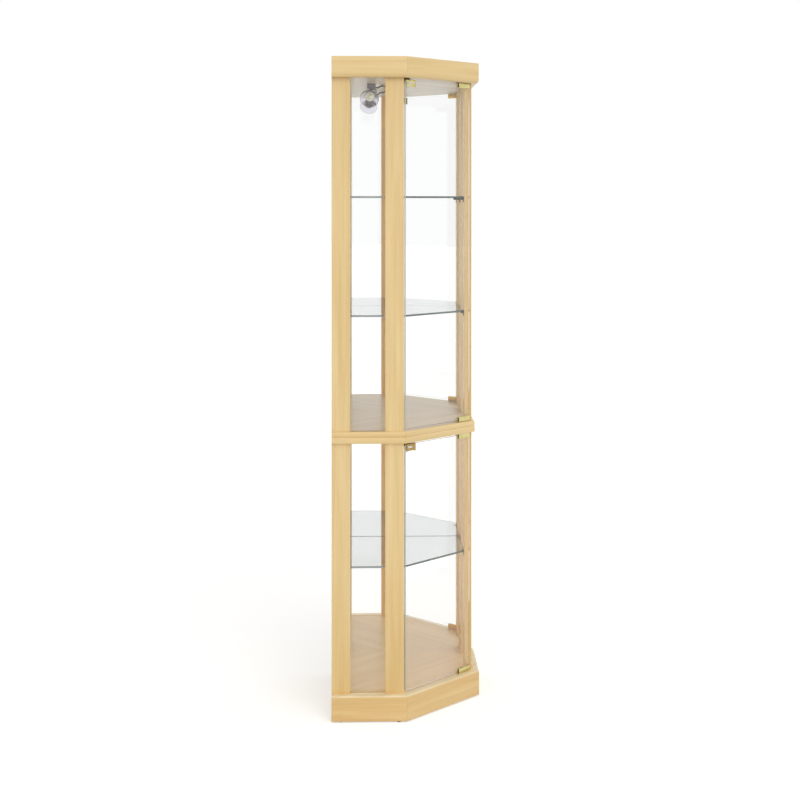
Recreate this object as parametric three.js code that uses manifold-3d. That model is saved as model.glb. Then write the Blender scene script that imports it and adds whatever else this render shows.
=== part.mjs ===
// Corner curio cabinet: a five-sided lighted display case with two frameless glass doors.
// Millimetres, +Z up. The origin is on the floor below the middle of the case, the doors face -Y
// and the corner that goes into the room's corner is at +Y.
//
// Most pieces are drawn in a wall frame whose two axes start at the back corner: u is the distance
// from the right-hand wall and v the distance from the left-hand wall. Swapping u and v turns a
// piece of the left half into its twin on the right. Pieces on the diagonal front are drawn in a
// front frame: x runs along the doors, y is zero on the plane through the two front corners.

import * as THREE from 'three';
import { mergeVertices } from 'three/addons/utils/BufferGeometryUtils.js';
import Module from 'manifold-3d';

const wasm = await Module();
wasm.setup();

// Driving sizes of the case
const totalHeight = 1778;
const wallLength = 390;        // from the back corner to the outer face of a side panel
const sideWidth = 194;         // from a wall to the front corner
const footHeight = 3;
const baseHeight = 68;
const capHeight = 56.4;
const upperBayHeight = 948.6;  // from the middle board's top to the ceiling
const middleThickness = 31.5;

// Overhang of the boards past the faces of the stiles
const baseOverhang = 21;
const middleOverhang = 9;
const capOverhang = 20;

// Sections and thicknesses
const stileWidth = 50;
const stileThickness = 22;
const railThickness = 18;      // plinth rails and cap rails
const deckThickness = 18;
const ceilingThickness = 12;
const topThickness = 12;
const backThickness = 6;
const mirrorThickness = 4;
const sideGlassThickness = 4;
const shelfThickness = 5;
const postWidth = 18;
const postLip = 10;            // outer part of the post, past which the backs are let in
const grooveDepth = 8;
const backRebate = 10;         // how far a back reaches behind its stile
const deckFrontReach = 2;      // the middle board passes the front plane by this much

// Clearances
const fit = 0.3;
const shelfClearance = 1;

// The tops of the shelves, as shares of the height of the compartment that each one is in
const lowerShelfShare = 0.5;
const middleShelfShare = 0.3268;
const upperShelfShare = 0.6652;
const shelfSetback = 20;       // from the front plane to the front edge of a shelf

// Edge shapes
const baseEdgeRadius = 6;
const capEdgeHeight = 12;
const capEdgeDepth = 8;
const topEdgeRadius = 1.5;
const lowerBeadHeight = 17;
const beadGroove = 2.5;
const beadRound = 5;
const topBeadRound = 8;
const topBeadDepth = 5.6;
const edgeSteps = 6;

// Doors
const doorThickness = 5;
const doorCornerRadius = 2;
const doorGap = 5;             // between a door's glass and the boards above and below it
const doorLeadGap = 6.6;       // from the left front corner to the free edge of a door
const doorHingeGap = 9.1;      // from the right front corner to the hung edge of a door
const pivotInset = 15.1;       // from the right front corner to the pivot axis
const clampLength = 46;
const clampHeight = 14;
const clampThickness = 10;
const clampGap = 1;
const clampChamfer = 1;
const pinRadius = 2.5;
const pinReach = 8;            // how far a pivot pin goes into its board
const pinRoot = 2;
const pinHoleSlack = 0.4;

// Strike clips and push latches
const strikeInset = 2;         // from the free edge of the glass
const strikeLength = 36;
const strikeHeight = 21;
const strikeSheet = 1.2;
const strikeWindowLength = 18;
const strikeWindowHeight = 6.5;
const strikeWindowDrop = 6;
const strikeWindowInset = 6;
const latchLength = 20;
const latchDepth = 14;
const latchHeight = 13;
const latchFromCorner = 16.2;  // along the doors, from the left front corner
const latchSetback = 10.6;
const plungerRadius = 3;
const plungerFromCorner = 26;
const plungerGrip = 6.5;
const plungerTravel = 4;
const plungerBoreSlack = 0.4;
const plungerEndRoom = 0.6;

// Shelf pins
const shelfPinRadius = 2.5;
const shelfPinGrip = 8;
const shelfPinReach = 9;
const shelfPinPlateHalf = 4;
const shelfPinPlateDrop = 10;  // how far the plate hangs below the pin's axis
const shelfPinPlateThickness = 1.2;
const shelfPinSlack = 0.3;

// Feet
const footRadius = 6;
const footTipRadius = 5.4;
const frontFootOffset = 14;    // outward from the case's side
const frontFootFromCorner = 14;
const backFootOffset = 9.2;
const backFootFromWall = 24;

// Lamp
const lampFromRightWall = 165;
const lampFromLeftWall = 108.6;
const lampBaseWidth = 24;
const lampBaseHeight = 13;
const lampBaseChamfer = 1.5;
const lampPan = -8;            // degrees, rest direction from square to the left panel
const lampTilt = 30;           // degrees below level
const lampPivotDrop = 31.5;    // below the ceiling
const headOffset = 3.5;        // from the swivel's axis to the head's, away from the arm
const swivelRadius = 5;
const swivelHeight = 3.6;
const armWidth = 8;
const armThickness = 3;
const armReach = 14.5;
const armFoot = 5.5;
const tiltPinRadius = 2;
const tiltPinLength = 5;
const socketBack = 10;
const socketFront = 3;
const socketRadius = 13;
const socketBackRadius = 9.5;
const socketBore = 7;
const socketBoreDepth = 9;
const reflectorRadius = 27;
const reflectorNeck = 12;
const reflectorDepth = 19;
const reflectorWall = 1.6;
const lensRadius = 14;
const lensSetback = 14.3;      // from the reflector's rim to the edge of the lens
const lensDome = 9;

// Lamp lead and cord gland
const leadRadius = 2.25;
const leadHoleAcross = 37;     // from the lamp to the hole, away from the left panel
const leadHoleAlong = 41.4;    // and towards the doors
const leadHoleSlack = 1.75;
const leadSides = 8;
const leadSteps = 48;
const leadSeat = 3;
const glandFromCorner = 70;
const glandRadius = 6;
const glandCollar = 9;
const glandCollarThickness = 2;
const glandTail = 7;
const glandTailRadius = 3.2;
const glandHoleSlack = 0.3;

const cutOverrun = 1;
const roundSides = 24;
const smallSides = 12;

// Worked-out places
const baseTop = footHeight + baseHeight;
const capBottom = totalHeight - capHeight;
const middleTop = capBottom - upperBayHeight;
const middleBottom = middleTop - middleThickness;
const ceilingTop = capBottom + ceilingThickness;
const topBottom = totalHeight - topThickness;
const glandHeight = (ceilingTop + topBottom) / 2;
const halfRoot = Math.SQRT1_2;
const mitre = Math.SQRT2 - 1;
const depth = (wallLength + sideWidth) * halfRoot + baseOverhang;
const frontHalf = (wallLength - sideWidth) * halfRoot;
const frontSum = wallLength + sideWidth;
const glassCentre = wallLength - stileThickness / 2;
const stileInner = wallLength - stileThickness;
const mirrorBack = backThickness + fit;
const mirrorFront = mirrorBack + mirrorThickness;

function material(color, roughness, metalness, opacity = 1) {
  return new THREE.MeshStandardMaterial({
    color, roughness, metalness, opacity, transparent: opacity < 1,
  });
}

const maple = () => material('#dfc08a', 0.42, 0);
const mapleGolden = () => material('#d8b478', 0.42, 0);
const panelBoard = () => material('#c9b48c', 0.7, 0);
const clearGlass = () => material('#dfe9e6', 0.04, 0, 0.3);
const mirrorGlass = () => material('#eef1f1', 0.03, 1);
const brass = () => material('#c79b45', 0.25, 1);
const darkPlastic = () => material('#3a2a20', 0.5, 0);
const steel = () => material('#9a9894', 0.3, 1);
const lampGrey = () => material('#6a666c', 0.45, 0.4);
const frostedGlass = () => material('#d9d8e4', 0.2, 0, 0.6);
const blackRubber = () => material('#241f1e', 0.6, 0);
const brownPlastic = () => material('#7a6248', 0.6, 0);

const cabinet = new THREE.Group();
const walls = new THREE.Group();
walls.position.set(0, depth / 2, 0);
walls.rotation.z = -Math.PI * 3 / 4;
cabinet.add(walls);
const front = new THREE.Group();
front.position.set(0, baseOverhang - depth / 2, 0);
cabinet.add(front);

function add(parent, name, geometry, finish) {
  const mesh = new THREE.Mesh(geometry, finish);
  mesh.name = name;
  parent.add(mesh);
  return mesh;
}

// A closed mesh as a solid for cutting and joining, and back
function solid(geometry) {
  const bare = geometry.clone();
  bare.deleteAttribute('normal');
  bare.deleteAttribute('uv');
  const merged = mergeVertices(bare);
  return new wasm.Manifold(new wasm.Mesh({
    numProp: 3,
    vertProperties: new Float32Array(merged.attributes.position.array),
    triVerts: new Uint32Array(merged.index.array),
  }));
}

function geometryOf(body) {
  const mesh = body.getMesh();
  const geometry = new THREE.BufferGeometry();
  geometry.setAttribute('position', new THREE.BufferAttribute(mesh.vertProperties, 3));
  geometry.setIndex(new THREE.BufferAttribute(mesh.triVerts, 1));
  return geometry;
}

function cut(geometry, ...tools) {
  return geometryOf(tools.reduce((body, tool) => body.subtract(solid(tool)), solid(geometry)));
}

function join(geometry, ...others) {
  return geometryOf(others.reduce((body, other) => body.add(solid(other)), solid(geometry)));
}

// An outline in plan raised from one height to another
function prism(points, low, high) {
  const shape = new THREE.Shape(points.map(([a, b]) => new THREE.Vector2(a, b)));
  const geometry = new THREE.ExtrudeGeometry(shape, { depth: high - low, bevelEnabled: false });
  return geometry.translate(0, 0, low);
}

function rectangle(a0, a1, b0, b1) {
  return [[a0, b0], [a1, b0], [a1, b1], [a0, b1]];
}

// A section drawn as (outward, height), carried along a line in plan. The outward direction is a
// unit vector; the run goes along outward x up, which is to the left of someone facing outward.
function strip(section, outward, start, length) {
  const shape = new THREE.Shape(section.map(([a, b]) => new THREE.Vector2(a, b)));
  const geometry = new THREE.ExtrudeGeometry(shape, { depth: length, bevelEnabled: false });
  const out = new THREE.Vector3(outward[0], outward[1], 0);
  const up = new THREE.Vector3(0, 0, 1);
  const along = new THREE.Vector3().crossVectors(out, up);
  const matrix = new THREE.Matrix4().makeBasis(out, up, along);
  matrix.setPosition(start[0], start[1], 0);
  return geometry.applyMatrix4(matrix);
}

// A round rod between two points
function rod(radius, from, to, sides = smallSides) {
  const a = new THREE.Vector3(...from);
  const b = new THREE.Vector3(...to);
  const along = new THREE.Vector3().subVectors(b, a);
  const geometry = new THREE.CylinderGeometry(radius, radius, along.length(), sides);
  const turn = new THREE.Quaternion().setFromUnitVectors(
    new THREE.Vector3(0, 1, 0), along.clone().normalize());
  geometry.applyQuaternion(turn);
  return geometry.translate((a.x + b.x) / 2, (a.y + b.y) / 2, (a.z + b.z) / 2);
}

// A quarter of an ellipse between two points; the corner is the point it bends around outside
function quarter(from, to, corner) {
  const points = [];
  for (let i = 0; i <= edgeSteps; i += 1) {
    const angle = Math.PI / 2 * i / edgeSteps;
    const a = Math.sin(angle);
    const b = 1 - Math.cos(angle);
    points.push([
      from[0] + (corner[0] - from[0]) * a + (to[0] - corner[0]) * b,
      from[1] + (corner[1] - from[1]) * a + (to[1] - corner[1]) * b,
    ]);
  }
  return points;
}

const swap = ([a, b]) => [b, a];
const sided = (side, points) => (side === 'left' ? points : points.map(swap));

// The two front corners of the outline that stands a given offset outside the stiles
const leftCorner = (offset) => [wallLength + offset, sideWidth + offset * mitre];

// The plan of a rail or moulding on one of the three front faces, mitred at the front corners
function band(side, inner, outer) {
  const half = fit / 2;
  if (side === 'front') {
    const ends = [leftCorner(inner), leftCorner(outer)];
    const near = ends.map(([a, b]) => [a - half * halfRoot, b + half * halfRoot]);
    return [...near, ...near.map(swap).reverse()];
  }
  const points = [
    [wallLength + inner, 0],
    [wallLength + outer, 0],
    [leftCorner(outer)[0], leftCorner(outer)[1] - half],
    [leftCorner(inner)[0], leftCorner(inner)[1] - half],
  ];
  return sided(side, points);
}

const outwardOf = {
  left: [1, 0],
  right: [0, 1],
  front: [halfRoot, halfRoot],
};

// A mitred rail: its section is carried past both ends and then trimmed to its plan
function mitredRail(side, section, inner, outer, low, high) {
  const outward = outwardOf[side];
  const along = [outward[1], -outward[0]];
  const middle = side === 'front' ? [frontSum / 2, frontSum / 2]
    : sided(side, [[wallLength, sideWidth / 2]])[0];
  const length = (side === 'front' ? frontHalf : sideWidth) * 2 + outer * 4;
  const start = [middle[0] - along[0] * length / 2, middle[1] - along[1] * length / 2];
  const bar = solid(strip(section, outward, start, length));
  const trim = solid(prism(band(side, inner, outer), low - cutOverrun, high + cutOverrun));
  return geometryOf(bar.intersect(trim));
}

// A point of the front frame as a point of the wall frame
function frontToWalls(x, y) {
  return [frontSum / 2 - (x + y) * halfRoot, frontSum / 2 + (x - y) * halfRoot];
}

// Pivot holes, shared by the boards that the door pins turn in
const pivotX = frontHalf - pivotInset;
const pivotY = doorThickness / 2;
const [pivotU, pivotV] = frontToWalls(pivotX, pivotY);
function pivotHole(boardFace, direction) {
  const bottom = Math.min(boardFace - direction * cutOverrun, boardFace + direction * (pinReach + fit));
  const top = Math.max(boardFace - direction * cutOverrun, boardFace + direction * (pinReach + fit));
  return rod(pinRadius + pinHoleSlack, [pivotU, pivotV, bottom], [pivotU, pivotV, top], smallSides);
}

// Plinth: three mitred rails with a rounded top edge, and the deck let in between them
const baseInner = baseOverhang - railThickness;
const baseSection = [
  [baseInner, footHeight],
  [baseOverhang, footHeight],
  ...quarter([baseOverhang, baseTop - baseEdgeRadius], [baseOverhang - baseEdgeRadius, baseTop],
    [baseOverhang, baseTop]),
  [baseInner, baseTop],
];
for (const side of ['left', 'front', 'right']) {
  add(walls, `base_rail_${side}`,
    mitredRail(side, baseSection, baseInner, baseOverhang, footHeight, baseTop), mapleGolden());
}

// A board that fills the plan up to a given offset from the stiles' faces
function deckPlan(offset, back) {
  const corner = leftCorner(offset);
  return [[back, back], [wallLength + offset, back], corner, swap(corner), [back, wallLength + offset]];
}

const postHole = (low, high) => prism(
  rectangle(-cutOverrun, postWidth + fit, -cutOverrun, postWidth + fit), low, high);

add(walls, 'base_deck', cut(
  prism(deckPlan(baseInner - fit, mirrorBack), baseTop - deckThickness, baseTop),
  postHole(baseTop - deckThickness - cutOverrun, baseTop + cutOverrun),
  pivotHole(baseTop, -1)), mapleGolden());

// Feet under the four outer corners; the corner post stands on the floor itself
const frontFoot = [wallLength + frontFootOffset, sideWidth - frontFootFromCorner];
const backFoot = [wallLength + backFootOffset, backFootFromWall];
const footPlaces = {
  left_front: frontFoot,
  right_front: swap(frontFoot),
  left_back: backFoot,
  right_back: swap(backFoot),
};
for (const [name, place] of Object.entries(footPlaces)) {
  const foot = new THREE.CylinderGeometry(footRadius, footTipRadius, footHeight, roundSides);
  foot.rotateX(Math.PI / 2);
  add(walls, `foot_${name}`, foot.translate(place[0], place[1], footHeight / 2), brownPlastic());
}

// Corner post with a rebate for each back
add(walls, 'corner_post', prism([
  [0, 0], [postLip, 0], [postLip, mirrorBack], [postWidth, mirrorBack], [postWidth, postWidth],
  [mirrorBack, postWidth], [mirrorBack, postLip], [0, postLip],
], 0, capBottom), maple());

// Stiles: a groove for the side glass, a rebate for the back on the wall side, and pin holes
const shelfTops = {
  lower: baseTop + (middleBottom - baseTop) * lowerShelfShare,
  middle: middleTop + upperBayHeight * middleShelfShare,
  upper: middleTop + upperBayHeight * upperShelfShare,
};
const pinHeight = (top) => top - shelfThickness - shelfPinRadius;
const grooveHalf = sideGlassThickness / 2 + fit;
const pinPlace = { back: stileWidth / 2, front: sideWidth - stileWidth / 2 };

function axisPoint(side, u, v, z) {
  return side === 'left' ? [u, v, z] : [v, u, z];
}

function pinHoles(side, place) {
  return Object.values(shelfTops).map((top) => rod(shelfPinRadius + shelfPinSlack,
    axisPoint(side, stileInner - cutOverrun, pinPlace[place], pinHeight(top)),
    axisPoint(side, stileInner + shelfPinGrip + fit, pinPlace[place], pinHeight(top)), smallSides));
}

for (const side of ['left', 'right']) {
  const backPlan = [
    [stileInner, backThickness + fit],
    [stileInner + backRebate + fit, backThickness + fit],
    [stileInner + backRebate + fit, 0],
    [wallLength, 0],
    [wallLength, stileWidth],
    [glassCentre + grooveHalf, stileWidth],
    [glassCentre + grooveHalf, stileWidth - grooveDepth],
    [glassCentre - grooveHalf, stileWidth - grooveDepth],
    [glassCentre - grooveHalf, stileWidth],
    [stileInner, stileWidth],
  ];
  const inner = sideWidth - stileWidth;
  const frontPlan = [
    [stileInner, sideWidth],
    [stileInner, inner],
    [glassCentre - grooveHalf, inner],
    [glassCentre - grooveHalf, inner + grooveDepth],
    [glassCentre + grooveHalf, inner + grooveDepth],
    [glassCentre + grooveHalf, inner],
    [wallLength, inner],
    [wallLength, sideWidth],
  ];
  add(walls, `stile_${side}_back`, cut(prism(sided(side, backPlan), baseTop, capBottom),
    ...pinHoles(side, 'back')), maple());
  add(walls, `stile_${side}_front`, cut(prism(sided(side, frontPlan), baseTop, capBottom),
    ...pinHoles(side, 'front')), maple());

  // Side glass, held in the two grooves
  const glassStart = stileWidth - grooveDepth + fit;
  add(walls, `side_glass_${side}`, prism(sided(side, rectangle(
    glassCentre - sideGlassThickness / 2, glassCentre + sideGlassThickness / 2,
    glassStart, sideWidth - glassStart)), baseTop, capBottom), clearGlass());

  // Back: wider where it closes the plinth and the cap
  const narrow = stileInner + backRebate;
  const wideLow = wallLength + baseInner - fit;
  const wideHigh = wallLength + capOverhang - railThickness - fit;
  const backOutline = [
    [postLip + fit, footHeight],
    [wideLow, footHeight],
    [wideLow, baseTop],
    [narrow, baseTop],
    [narrow, capBottom],
    [wideHigh, capBottom],
    [wideHigh, topBottom],
    [fit + backThickness, topBottom],
    [fit + backThickness, capBottom],
    [postLip + fit, capBottom],
  ];
  const shape = new THREE.Shape(backOutline.map(([a, b]) => new THREE.Vector2(a, b)));
  let panel = new THREE.ExtrudeGeometry(shape, { depth: backThickness, bevelEnabled: false });
  if (side === 'left') {
    panel.rotateX(Math.PI / 2);
    panel.translate(0, backThickness, 0);
  } else {
    panel.rotateX(Math.PI / 2);
    panel.rotateZ(Math.PI / 2);
    panel = cut(panel, rod(glandRadius + glandHoleSlack,
      [-cutOverrun, glandFromCorner, glandHeight],
      [backThickness + cutOverrun, glandFromCorner, glandHeight], roundSides));
  }
  add(walls, `back_panel_${side}`, panel, panelBoard());

  // Mirror in front of the back, one tall pane for each wall
  add(walls, `mirror_${side}`, prism(sided(side, rectangle(
    postWidth + fit, stileInner - fit, mirrorBack, mirrorFront)), baseTop, capBottom), mirrorGlass());
}

// Middle board, notched round the stiles, the side glass and the post
const deckBack = mirrorFront + fit;
const deckSide = stileInner - fit;
const deckGlass = glassCentre - sideGlassThickness / 2 - fit;
const deckHalf = [
  [postWidth + fit, deckBack],
  [deckSide, deckBack],
  [deckSide, stileWidth + fit],
  [deckGlass, stileWidth + fit],
  [deckGlass, sideWidth - stileWidth - fit],
  [deckSide, sideWidth - stileWidth - fit],
  [deckSide, sideWidth + fit],
  [wallLength, sideWidth + fit],
  [wallLength, sideWidth + deckFrontReach * Math.SQRT2],
];
const deckOutline = [[postWidth + fit, postWidth + fit], ...deckHalf, ...deckHalf.map(swap).reverse()];
add(walls, 'middle_deck', cut(prism(deckOutline, middleBottom, middleTop),
  pivotHole(middleTop, -1), pivotHole(middleBottom, 1)), maple());

// Double-bead moulding round the middle board
function beadSection(inner) {
  const grooveHeight = middleBottom + lowerBeadHeight;
  const grooveOut = middleOverhang - beadGroove;
  return [
    [inner, middleBottom],
    [middleOverhang, middleBottom],
    ...quarter([middleOverhang, grooveHeight - beadRound], [grooveOut, grooveHeight],
      [middleOverhang, grooveHeight]),
    ...quarter([grooveOut, grooveHeight], [middleOverhang, grooveHeight + beadRound],
      [middleOverhang, grooveHeight]).slice(1),
    ...quarter([middleOverhang, middleTop - topBeadRound],
      [middleOverhang - topBeadDepth, middleTop], [middleOverhang, middleTop]),
    [inner, middleTop],
  ];
}
for (const side of ['left', 'front', 'right']) {
  const inner = side === 'front' ? deckFrontReach + fit : fit;
  add(walls, `moulding_${side}`,
    mitredRail(side, beadSection(inner), inner, middleOverhang, middleBottom, middleTop), maple());
}

// Cap: three mitred rails with a rounded lower edge, the ceiling and the top board
const capInner = capOverhang - railThickness;
const capSection = [
  [capInner, capBottom],
  ...quarter([capOverhang - capEdgeDepth, capBottom], [capOverhang, capBottom + capEdgeHeight],
    [capOverhang, capBottom]),
  ...quarter([capOverhang, totalHeight - topEdgeRadius], [capOverhang - topEdgeRadius, totalHeight],
    [capOverhang, totalHeight]),
  [capInner, totalHeight],
];
for (const side of ['left', 'front', 'right']) {
  add(walls, `cap_rail_${side}`,
    mitredRail(side, capSection, capInner, capOverhang, capBottom, totalHeight), maple());
}

// Lead: out of the lamp's base near its lower edge, up to the ceiling, along it and through its hole,
// then inside the cap to the gland. The open run is given as shares of the way from the base to the
// hole, across and along, and of the base's height below the ceiling.
const leadHoleU = lampFromRightWall - leadHoleAcross;
const leadHoleV = lampFromLeftWall + leadHoleAlong;
const leadStart = lampFromLeftWall + lampBaseWidth / 2 - leadSeat + fit;
const leadRunShares = [
  [0, 0, 0.73],
  [0, 0.15, 0.73],
  [0.07, 0.27, 0.8],
  [0.3, 0.44, 0.5],
  [0.6, 0.64, 0.26],
  [0.97, 0.97, 0.23],
];
// The run inside the cap as shares of the way from the hole to the back's outer face, of the way
// along to the gland, and of the height from the ceiling panel's top up to the gland.
const leadCapShares = [
  [0, 0, -0.37],
  [0, 0, 0.14],
  [0.04, 0.06, 0.62],
  [0.16, 0.2, 0.28],
  [0.23, 0.5, 0.28],
  [0.61, 0.87, 0.64],
  [0.76, 1, 1],
  [1, 1, 1],
];
const between = (a, b, share) => a + (b - a) * share;
const leadRoute = [
  ...leadRunShares.map(([across, along, drop]) => [
    between(lampFromRightWall, leadHoleU, across),
    between(leadStart, leadHoleV, along),
    capBottom - lampBaseHeight * drop,
  ]),
  ...leadCapShares.map(([across, along, rise]) => [
    between(leadHoleU, 0, across),
    between(leadHoleV, glandFromCorner, along),
    between(ceilingTop, glandHeight, rise),
  ]),
];
const leadLow = leadRoute[0][2];

const ceilingPlan = deckPlan(capInner - fit, mirrorBack);
add(walls, 'ceiling_panel', cut(prism(ceilingPlan, capBottom, ceilingTop),
  rod(leadRadius + leadHoleSlack, [leadHoleU, leadHoleV, capBottom - cutOverrun],
    [leadHoleU, leadHoleV, ceilingTop + cutOverrun], smallSides),
  pivotHole(capBottom, 1)), panelBoard());
add(walls, 'top_board', prism(deckPlan(capInner - fit, 0), topBottom, totalHeight), maple());

// Glass shelves, each on four pins in the stiles
const shelfBack = mirrorFront + shelfClearance;
const shelfSide = stileInner - shelfClearance;
const shelfSum = frontSum - shelfSetback * Math.SQRT2;
const shelfNotch = 2 * (postWidth + shelfClearance) - shelfBack;
const shelfHalf = [[shelfNotch, shelfBack], [shelfSide, shelfBack], [shelfSide, shelfSum - shelfSide]];
const shelfPlan = [...shelfHalf, ...shelfHalf.map(swap).reverse()];

function shelfPin(side, place, top) {
  const at = (u) => axisPoint(side, u, pinPlace[place], pinHeight(top));
  const shank = rod(shelfPinRadius, at(stileInner + shelfPinGrip), at(stileInner - shelfPinReach));
  const low = pinHeight(top) - shelfPinPlateDrop;
  const face = stileInner - fit;
  const plate = prism(sided(side, rectangle(face - shelfPinPlateThickness, face,
    pinPlace[place] - shelfPinPlateHalf, pinPlace[place] + shelfPinPlateHalf)),
  low, pinHeight(top) + shelfPinRadius - fit);
  return join(shank, plate);
}

for (const [level, top] of Object.entries(shelfTops)) {
  add(walls, `shelf_${level}`, prism(shelfPlan, top - shelfThickness, top), clearGlass());
  for (const side of ['left', 'right']) {
    for (const place of ['back', 'front']) {
      add(walls, `shelf_pin_${level}_${side}_${place}`, shelfPin(side, place, top), steel());
    }
  }
}

// A section drawn as (y, height) in the front frame, carried along x from one place to another
function alongDoor(section, x0, x1) {
  const shape = new THREE.Shape(section.map(([a, b]) => new THREE.Vector2(a, b)));
  const geometry = new THREE.ExtrudeGeometry(shape, { depth: x1 - x0, bevelEnabled: false });
  const matrix = new THREE.Matrix4().makeBasis(
    new THREE.Vector3(0, 1, 0), new THREE.Vector3(0, 0, 1), new THREE.Vector3(1, 0, 0));
  matrix.setPosition(x0, 0, 0);
  return geometry.applyMatrix4(matrix);
}

const doorLeft = -frontHalf + doorLeadGap;
const doorRight = frontHalf - doorHingeGap;
const clampBack = doorThickness / 2 + clampThickness / 2;
const clampFront = doorThickness / 2 - clampThickness / 2;

function roundedRectangle(x0, x1, z0, z1, radius) {
  const shape = new THREE.Shape();
  shape.moveTo(x0 + radius, z0);
  shape.lineTo(x1 - radius, z0);
  shape.absarc(x1 - radius, z0 + radius, radius, -Math.PI / 2, 0);
  shape.absarc(x1 - radius, z1 - radius, radius, 0, Math.PI / 2);
  shape.absarc(x0 + radius, z1 - radius, radius, Math.PI / 2, Math.PI);
  shape.absarc(x0 + radius, z0 + radius, radius, Math.PI, Math.PI * 3 / 2);
  return shape;
}

// A pivot clamp: a channel on the corner of the glass with a pin that turns in the board.
// Direction is 1 for a clamp below its board and -1 for one above it.
function pivotClamp(boardFace, direction) {
  const end = boardFace - direction * clampGap;
  const open = end - direction * clampHeight;
  const web = boardFace - direction * (doorGap - fit);
  const slotFront = -fit;
  const slotBack = doorThickness + fit;
  const section = [
    [clampFront, open],
    [clampFront, end - direction * clampChamfer],
    [clampFront + clampChamfer, end],
    [clampBack - clampChamfer, end],
    [clampBack, end - direction * clampChamfer],
    [clampBack, open],
    [slotBack, open],
    [slotBack, web],
    [slotFront, web],
    [slotFront, open],
  ];
  const body = alongDoor(section, doorRight - clampLength, doorRight);
  const pinLow = [pivotX, pivotY, end - direction * pinRoot];
  const pinHigh = [pivotX, pivotY, boardFace + direction * pinReach];
  return join(body, rod(pinRadius, pinLow, pinHigh));
}

// A strike clip: a folded brass sheet over the top edge of the glass, with a window in its face
function strikeClip(glassTop) {
  const top = glassTop + fit + strikeSheet;
  const low = top - strikeHeight;
  const outer = -fit - strikeSheet;
  const inner = doorThickness + fit + strikeSheet;
  const section = [
    [outer, low],
    [outer, top],
    [inner, top],
    [inner, low],
    [inner - strikeSheet, low],
    [inner - strikeSheet, top - strikeSheet],
    [outer + strikeSheet, top - strikeSheet],
    [outer + strikeSheet, low],
  ];
  const left = doorLeft + strikeInset;
  const body = alongDoor(section, left, left + strikeLength);
  const windowTop = top - strikeWindowDrop;
  const windowSection = [
    [outer - cutOverrun, windowTop - strikeWindowHeight],
    [outer - cutOverrun, windowTop],
    [0, windowTop],
    [0, windowTop - strikeWindowHeight],
  ];
  const windowLeft = left + strikeWindowInset;
  return cut(body, alongDoor(windowSection, windowLeft, windowLeft + strikeWindowLength));
}

// A push latch under the board, with a sprung plunger that meets the strike
const strikeBack = doorThickness + fit + strikeSheet;
const latchX = -frontHalf + latchFromCorner;
const plungerX = -frontHalf + plungerFromCorner;
const plungerTip = strikeBack + fit;
function latchBody(boardFace) {
  const box = alongDoor([
    [latchSetback, boardFace - latchHeight],
    [latchSetback, boardFace],
    [latchSetback + latchDepth, boardFace],
    [latchSetback + latchDepth, boardFace - latchHeight],
  ], latchX, latchX + latchLength);
  const bore = latchSetback + plungerGrip + plungerTravel + plungerEndRoom;
  return cut(box, rod(plungerRadius + plungerBoreSlack,
    [plungerX, latchSetback - cutOverrun, boardFace - latchHeight / 2],
    [plungerX, bore, boardFace - latchHeight / 2], roundSides));
}
function plunger(boardFace) {
  return rod(plungerRadius, [plungerX, plungerTip, boardFace - latchHeight / 2],
    [plungerX, latchSetback + plungerGrip, boardFace - latchHeight / 2], roundSides);
}

const doors = { upper: [middleTop, capBottom], lower: [baseTop, middleBottom] };
for (const [name, [low, high]] of Object.entries(doors)) {
  const outline = roundedRectangle(doorLeft, doorRight, low + doorGap, high - doorGap, doorCornerRadius);
  const pane = new THREE.ExtrudeGeometry(outline,
    { depth: doorThickness, bevelEnabled: false, curveSegments: edgeSteps });
  pane.rotateX(Math.PI / 2);
  pane.translate(0, doorThickness, 0);
  add(front, `door_glass_${name}`, pane, clearGlass());
  add(front, `hinge_clamp_${name}_top`, pivotClamp(high, 1), brass());
  add(front, `hinge_clamp_${name}_bottom`, pivotClamp(low, -1), brass());
  add(front, `strike_clip_${name}`, strikeClip(high - doorGap), brass());
  add(front, `latch_body_${name}`, latchBody(high), darkPlastic());
  add(front, `latch_plunger_${name}`, plunger(high), steel());
}

// Lamp: a square base under the ceiling, a one-sided arm that turns on it, and a tilting head
const baseHalf = lampBaseWidth / 2;
const lampLow = capBottom - lampBaseHeight;
function chamferedSquare(half, chamfer) {
  const c = half - chamfer;
  return [[half, -c], [half, c], [c, half], [-c, half], [-half, c], [-half, -c], [-c, -half], [c, -half]];
}
const lampBase = prism(chamferedSquare(baseHalf, lampBaseChamfer), lampLow, capBottom);
lampBase.translate(lampFromRightWall, lampFromLeftWall, 0);
add(walls, 'lamp_base', cut(lampBase, rod(leadRadius + fit,
  [lampFromRightWall, leadStart - fit, leadLow],
  [lampFromRightWall, lampFromLeftWall + lampBaseWidth, leadLow])), lampGrey());

const pan = new THREE.Group();
pan.position.set(lampFromRightWall, lampFromLeftWall, 0);
pan.rotation.z = THREE.MathUtils.degToRad(lampPan);
walls.add(pan);
const armTop = lampLow - fit;
const pivotZ = capBottom - lampPivotDrop;
const armOutline = [
  [-swivelRadius, armTop],
  [armReach, armTop],
  [armReach, pivotZ - armFoot],
  [armReach - armThickness, pivotZ - armFoot],
  [armReach - armThickness, armTop - armThickness],
  [-swivelRadius, armTop - armThickness],
];
const armShape = new THREE.Shape(armOutline.map(([a, b]) => new THREE.Vector2(a, b)));
const arm = new THREE.ExtrudeGeometry(armShape, { depth: armWidth, bevelEnabled: false });
arm.applyMatrix4(new THREE.Matrix4().makeBasis(
  new THREE.Vector3(0, 1, 0), new THREE.Vector3(0, 0, 1), new THREE.Vector3(1, 0, 0)));
arm.translate(-armWidth / 2, 0, 0);
const armInside = armReach - armThickness;
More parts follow.
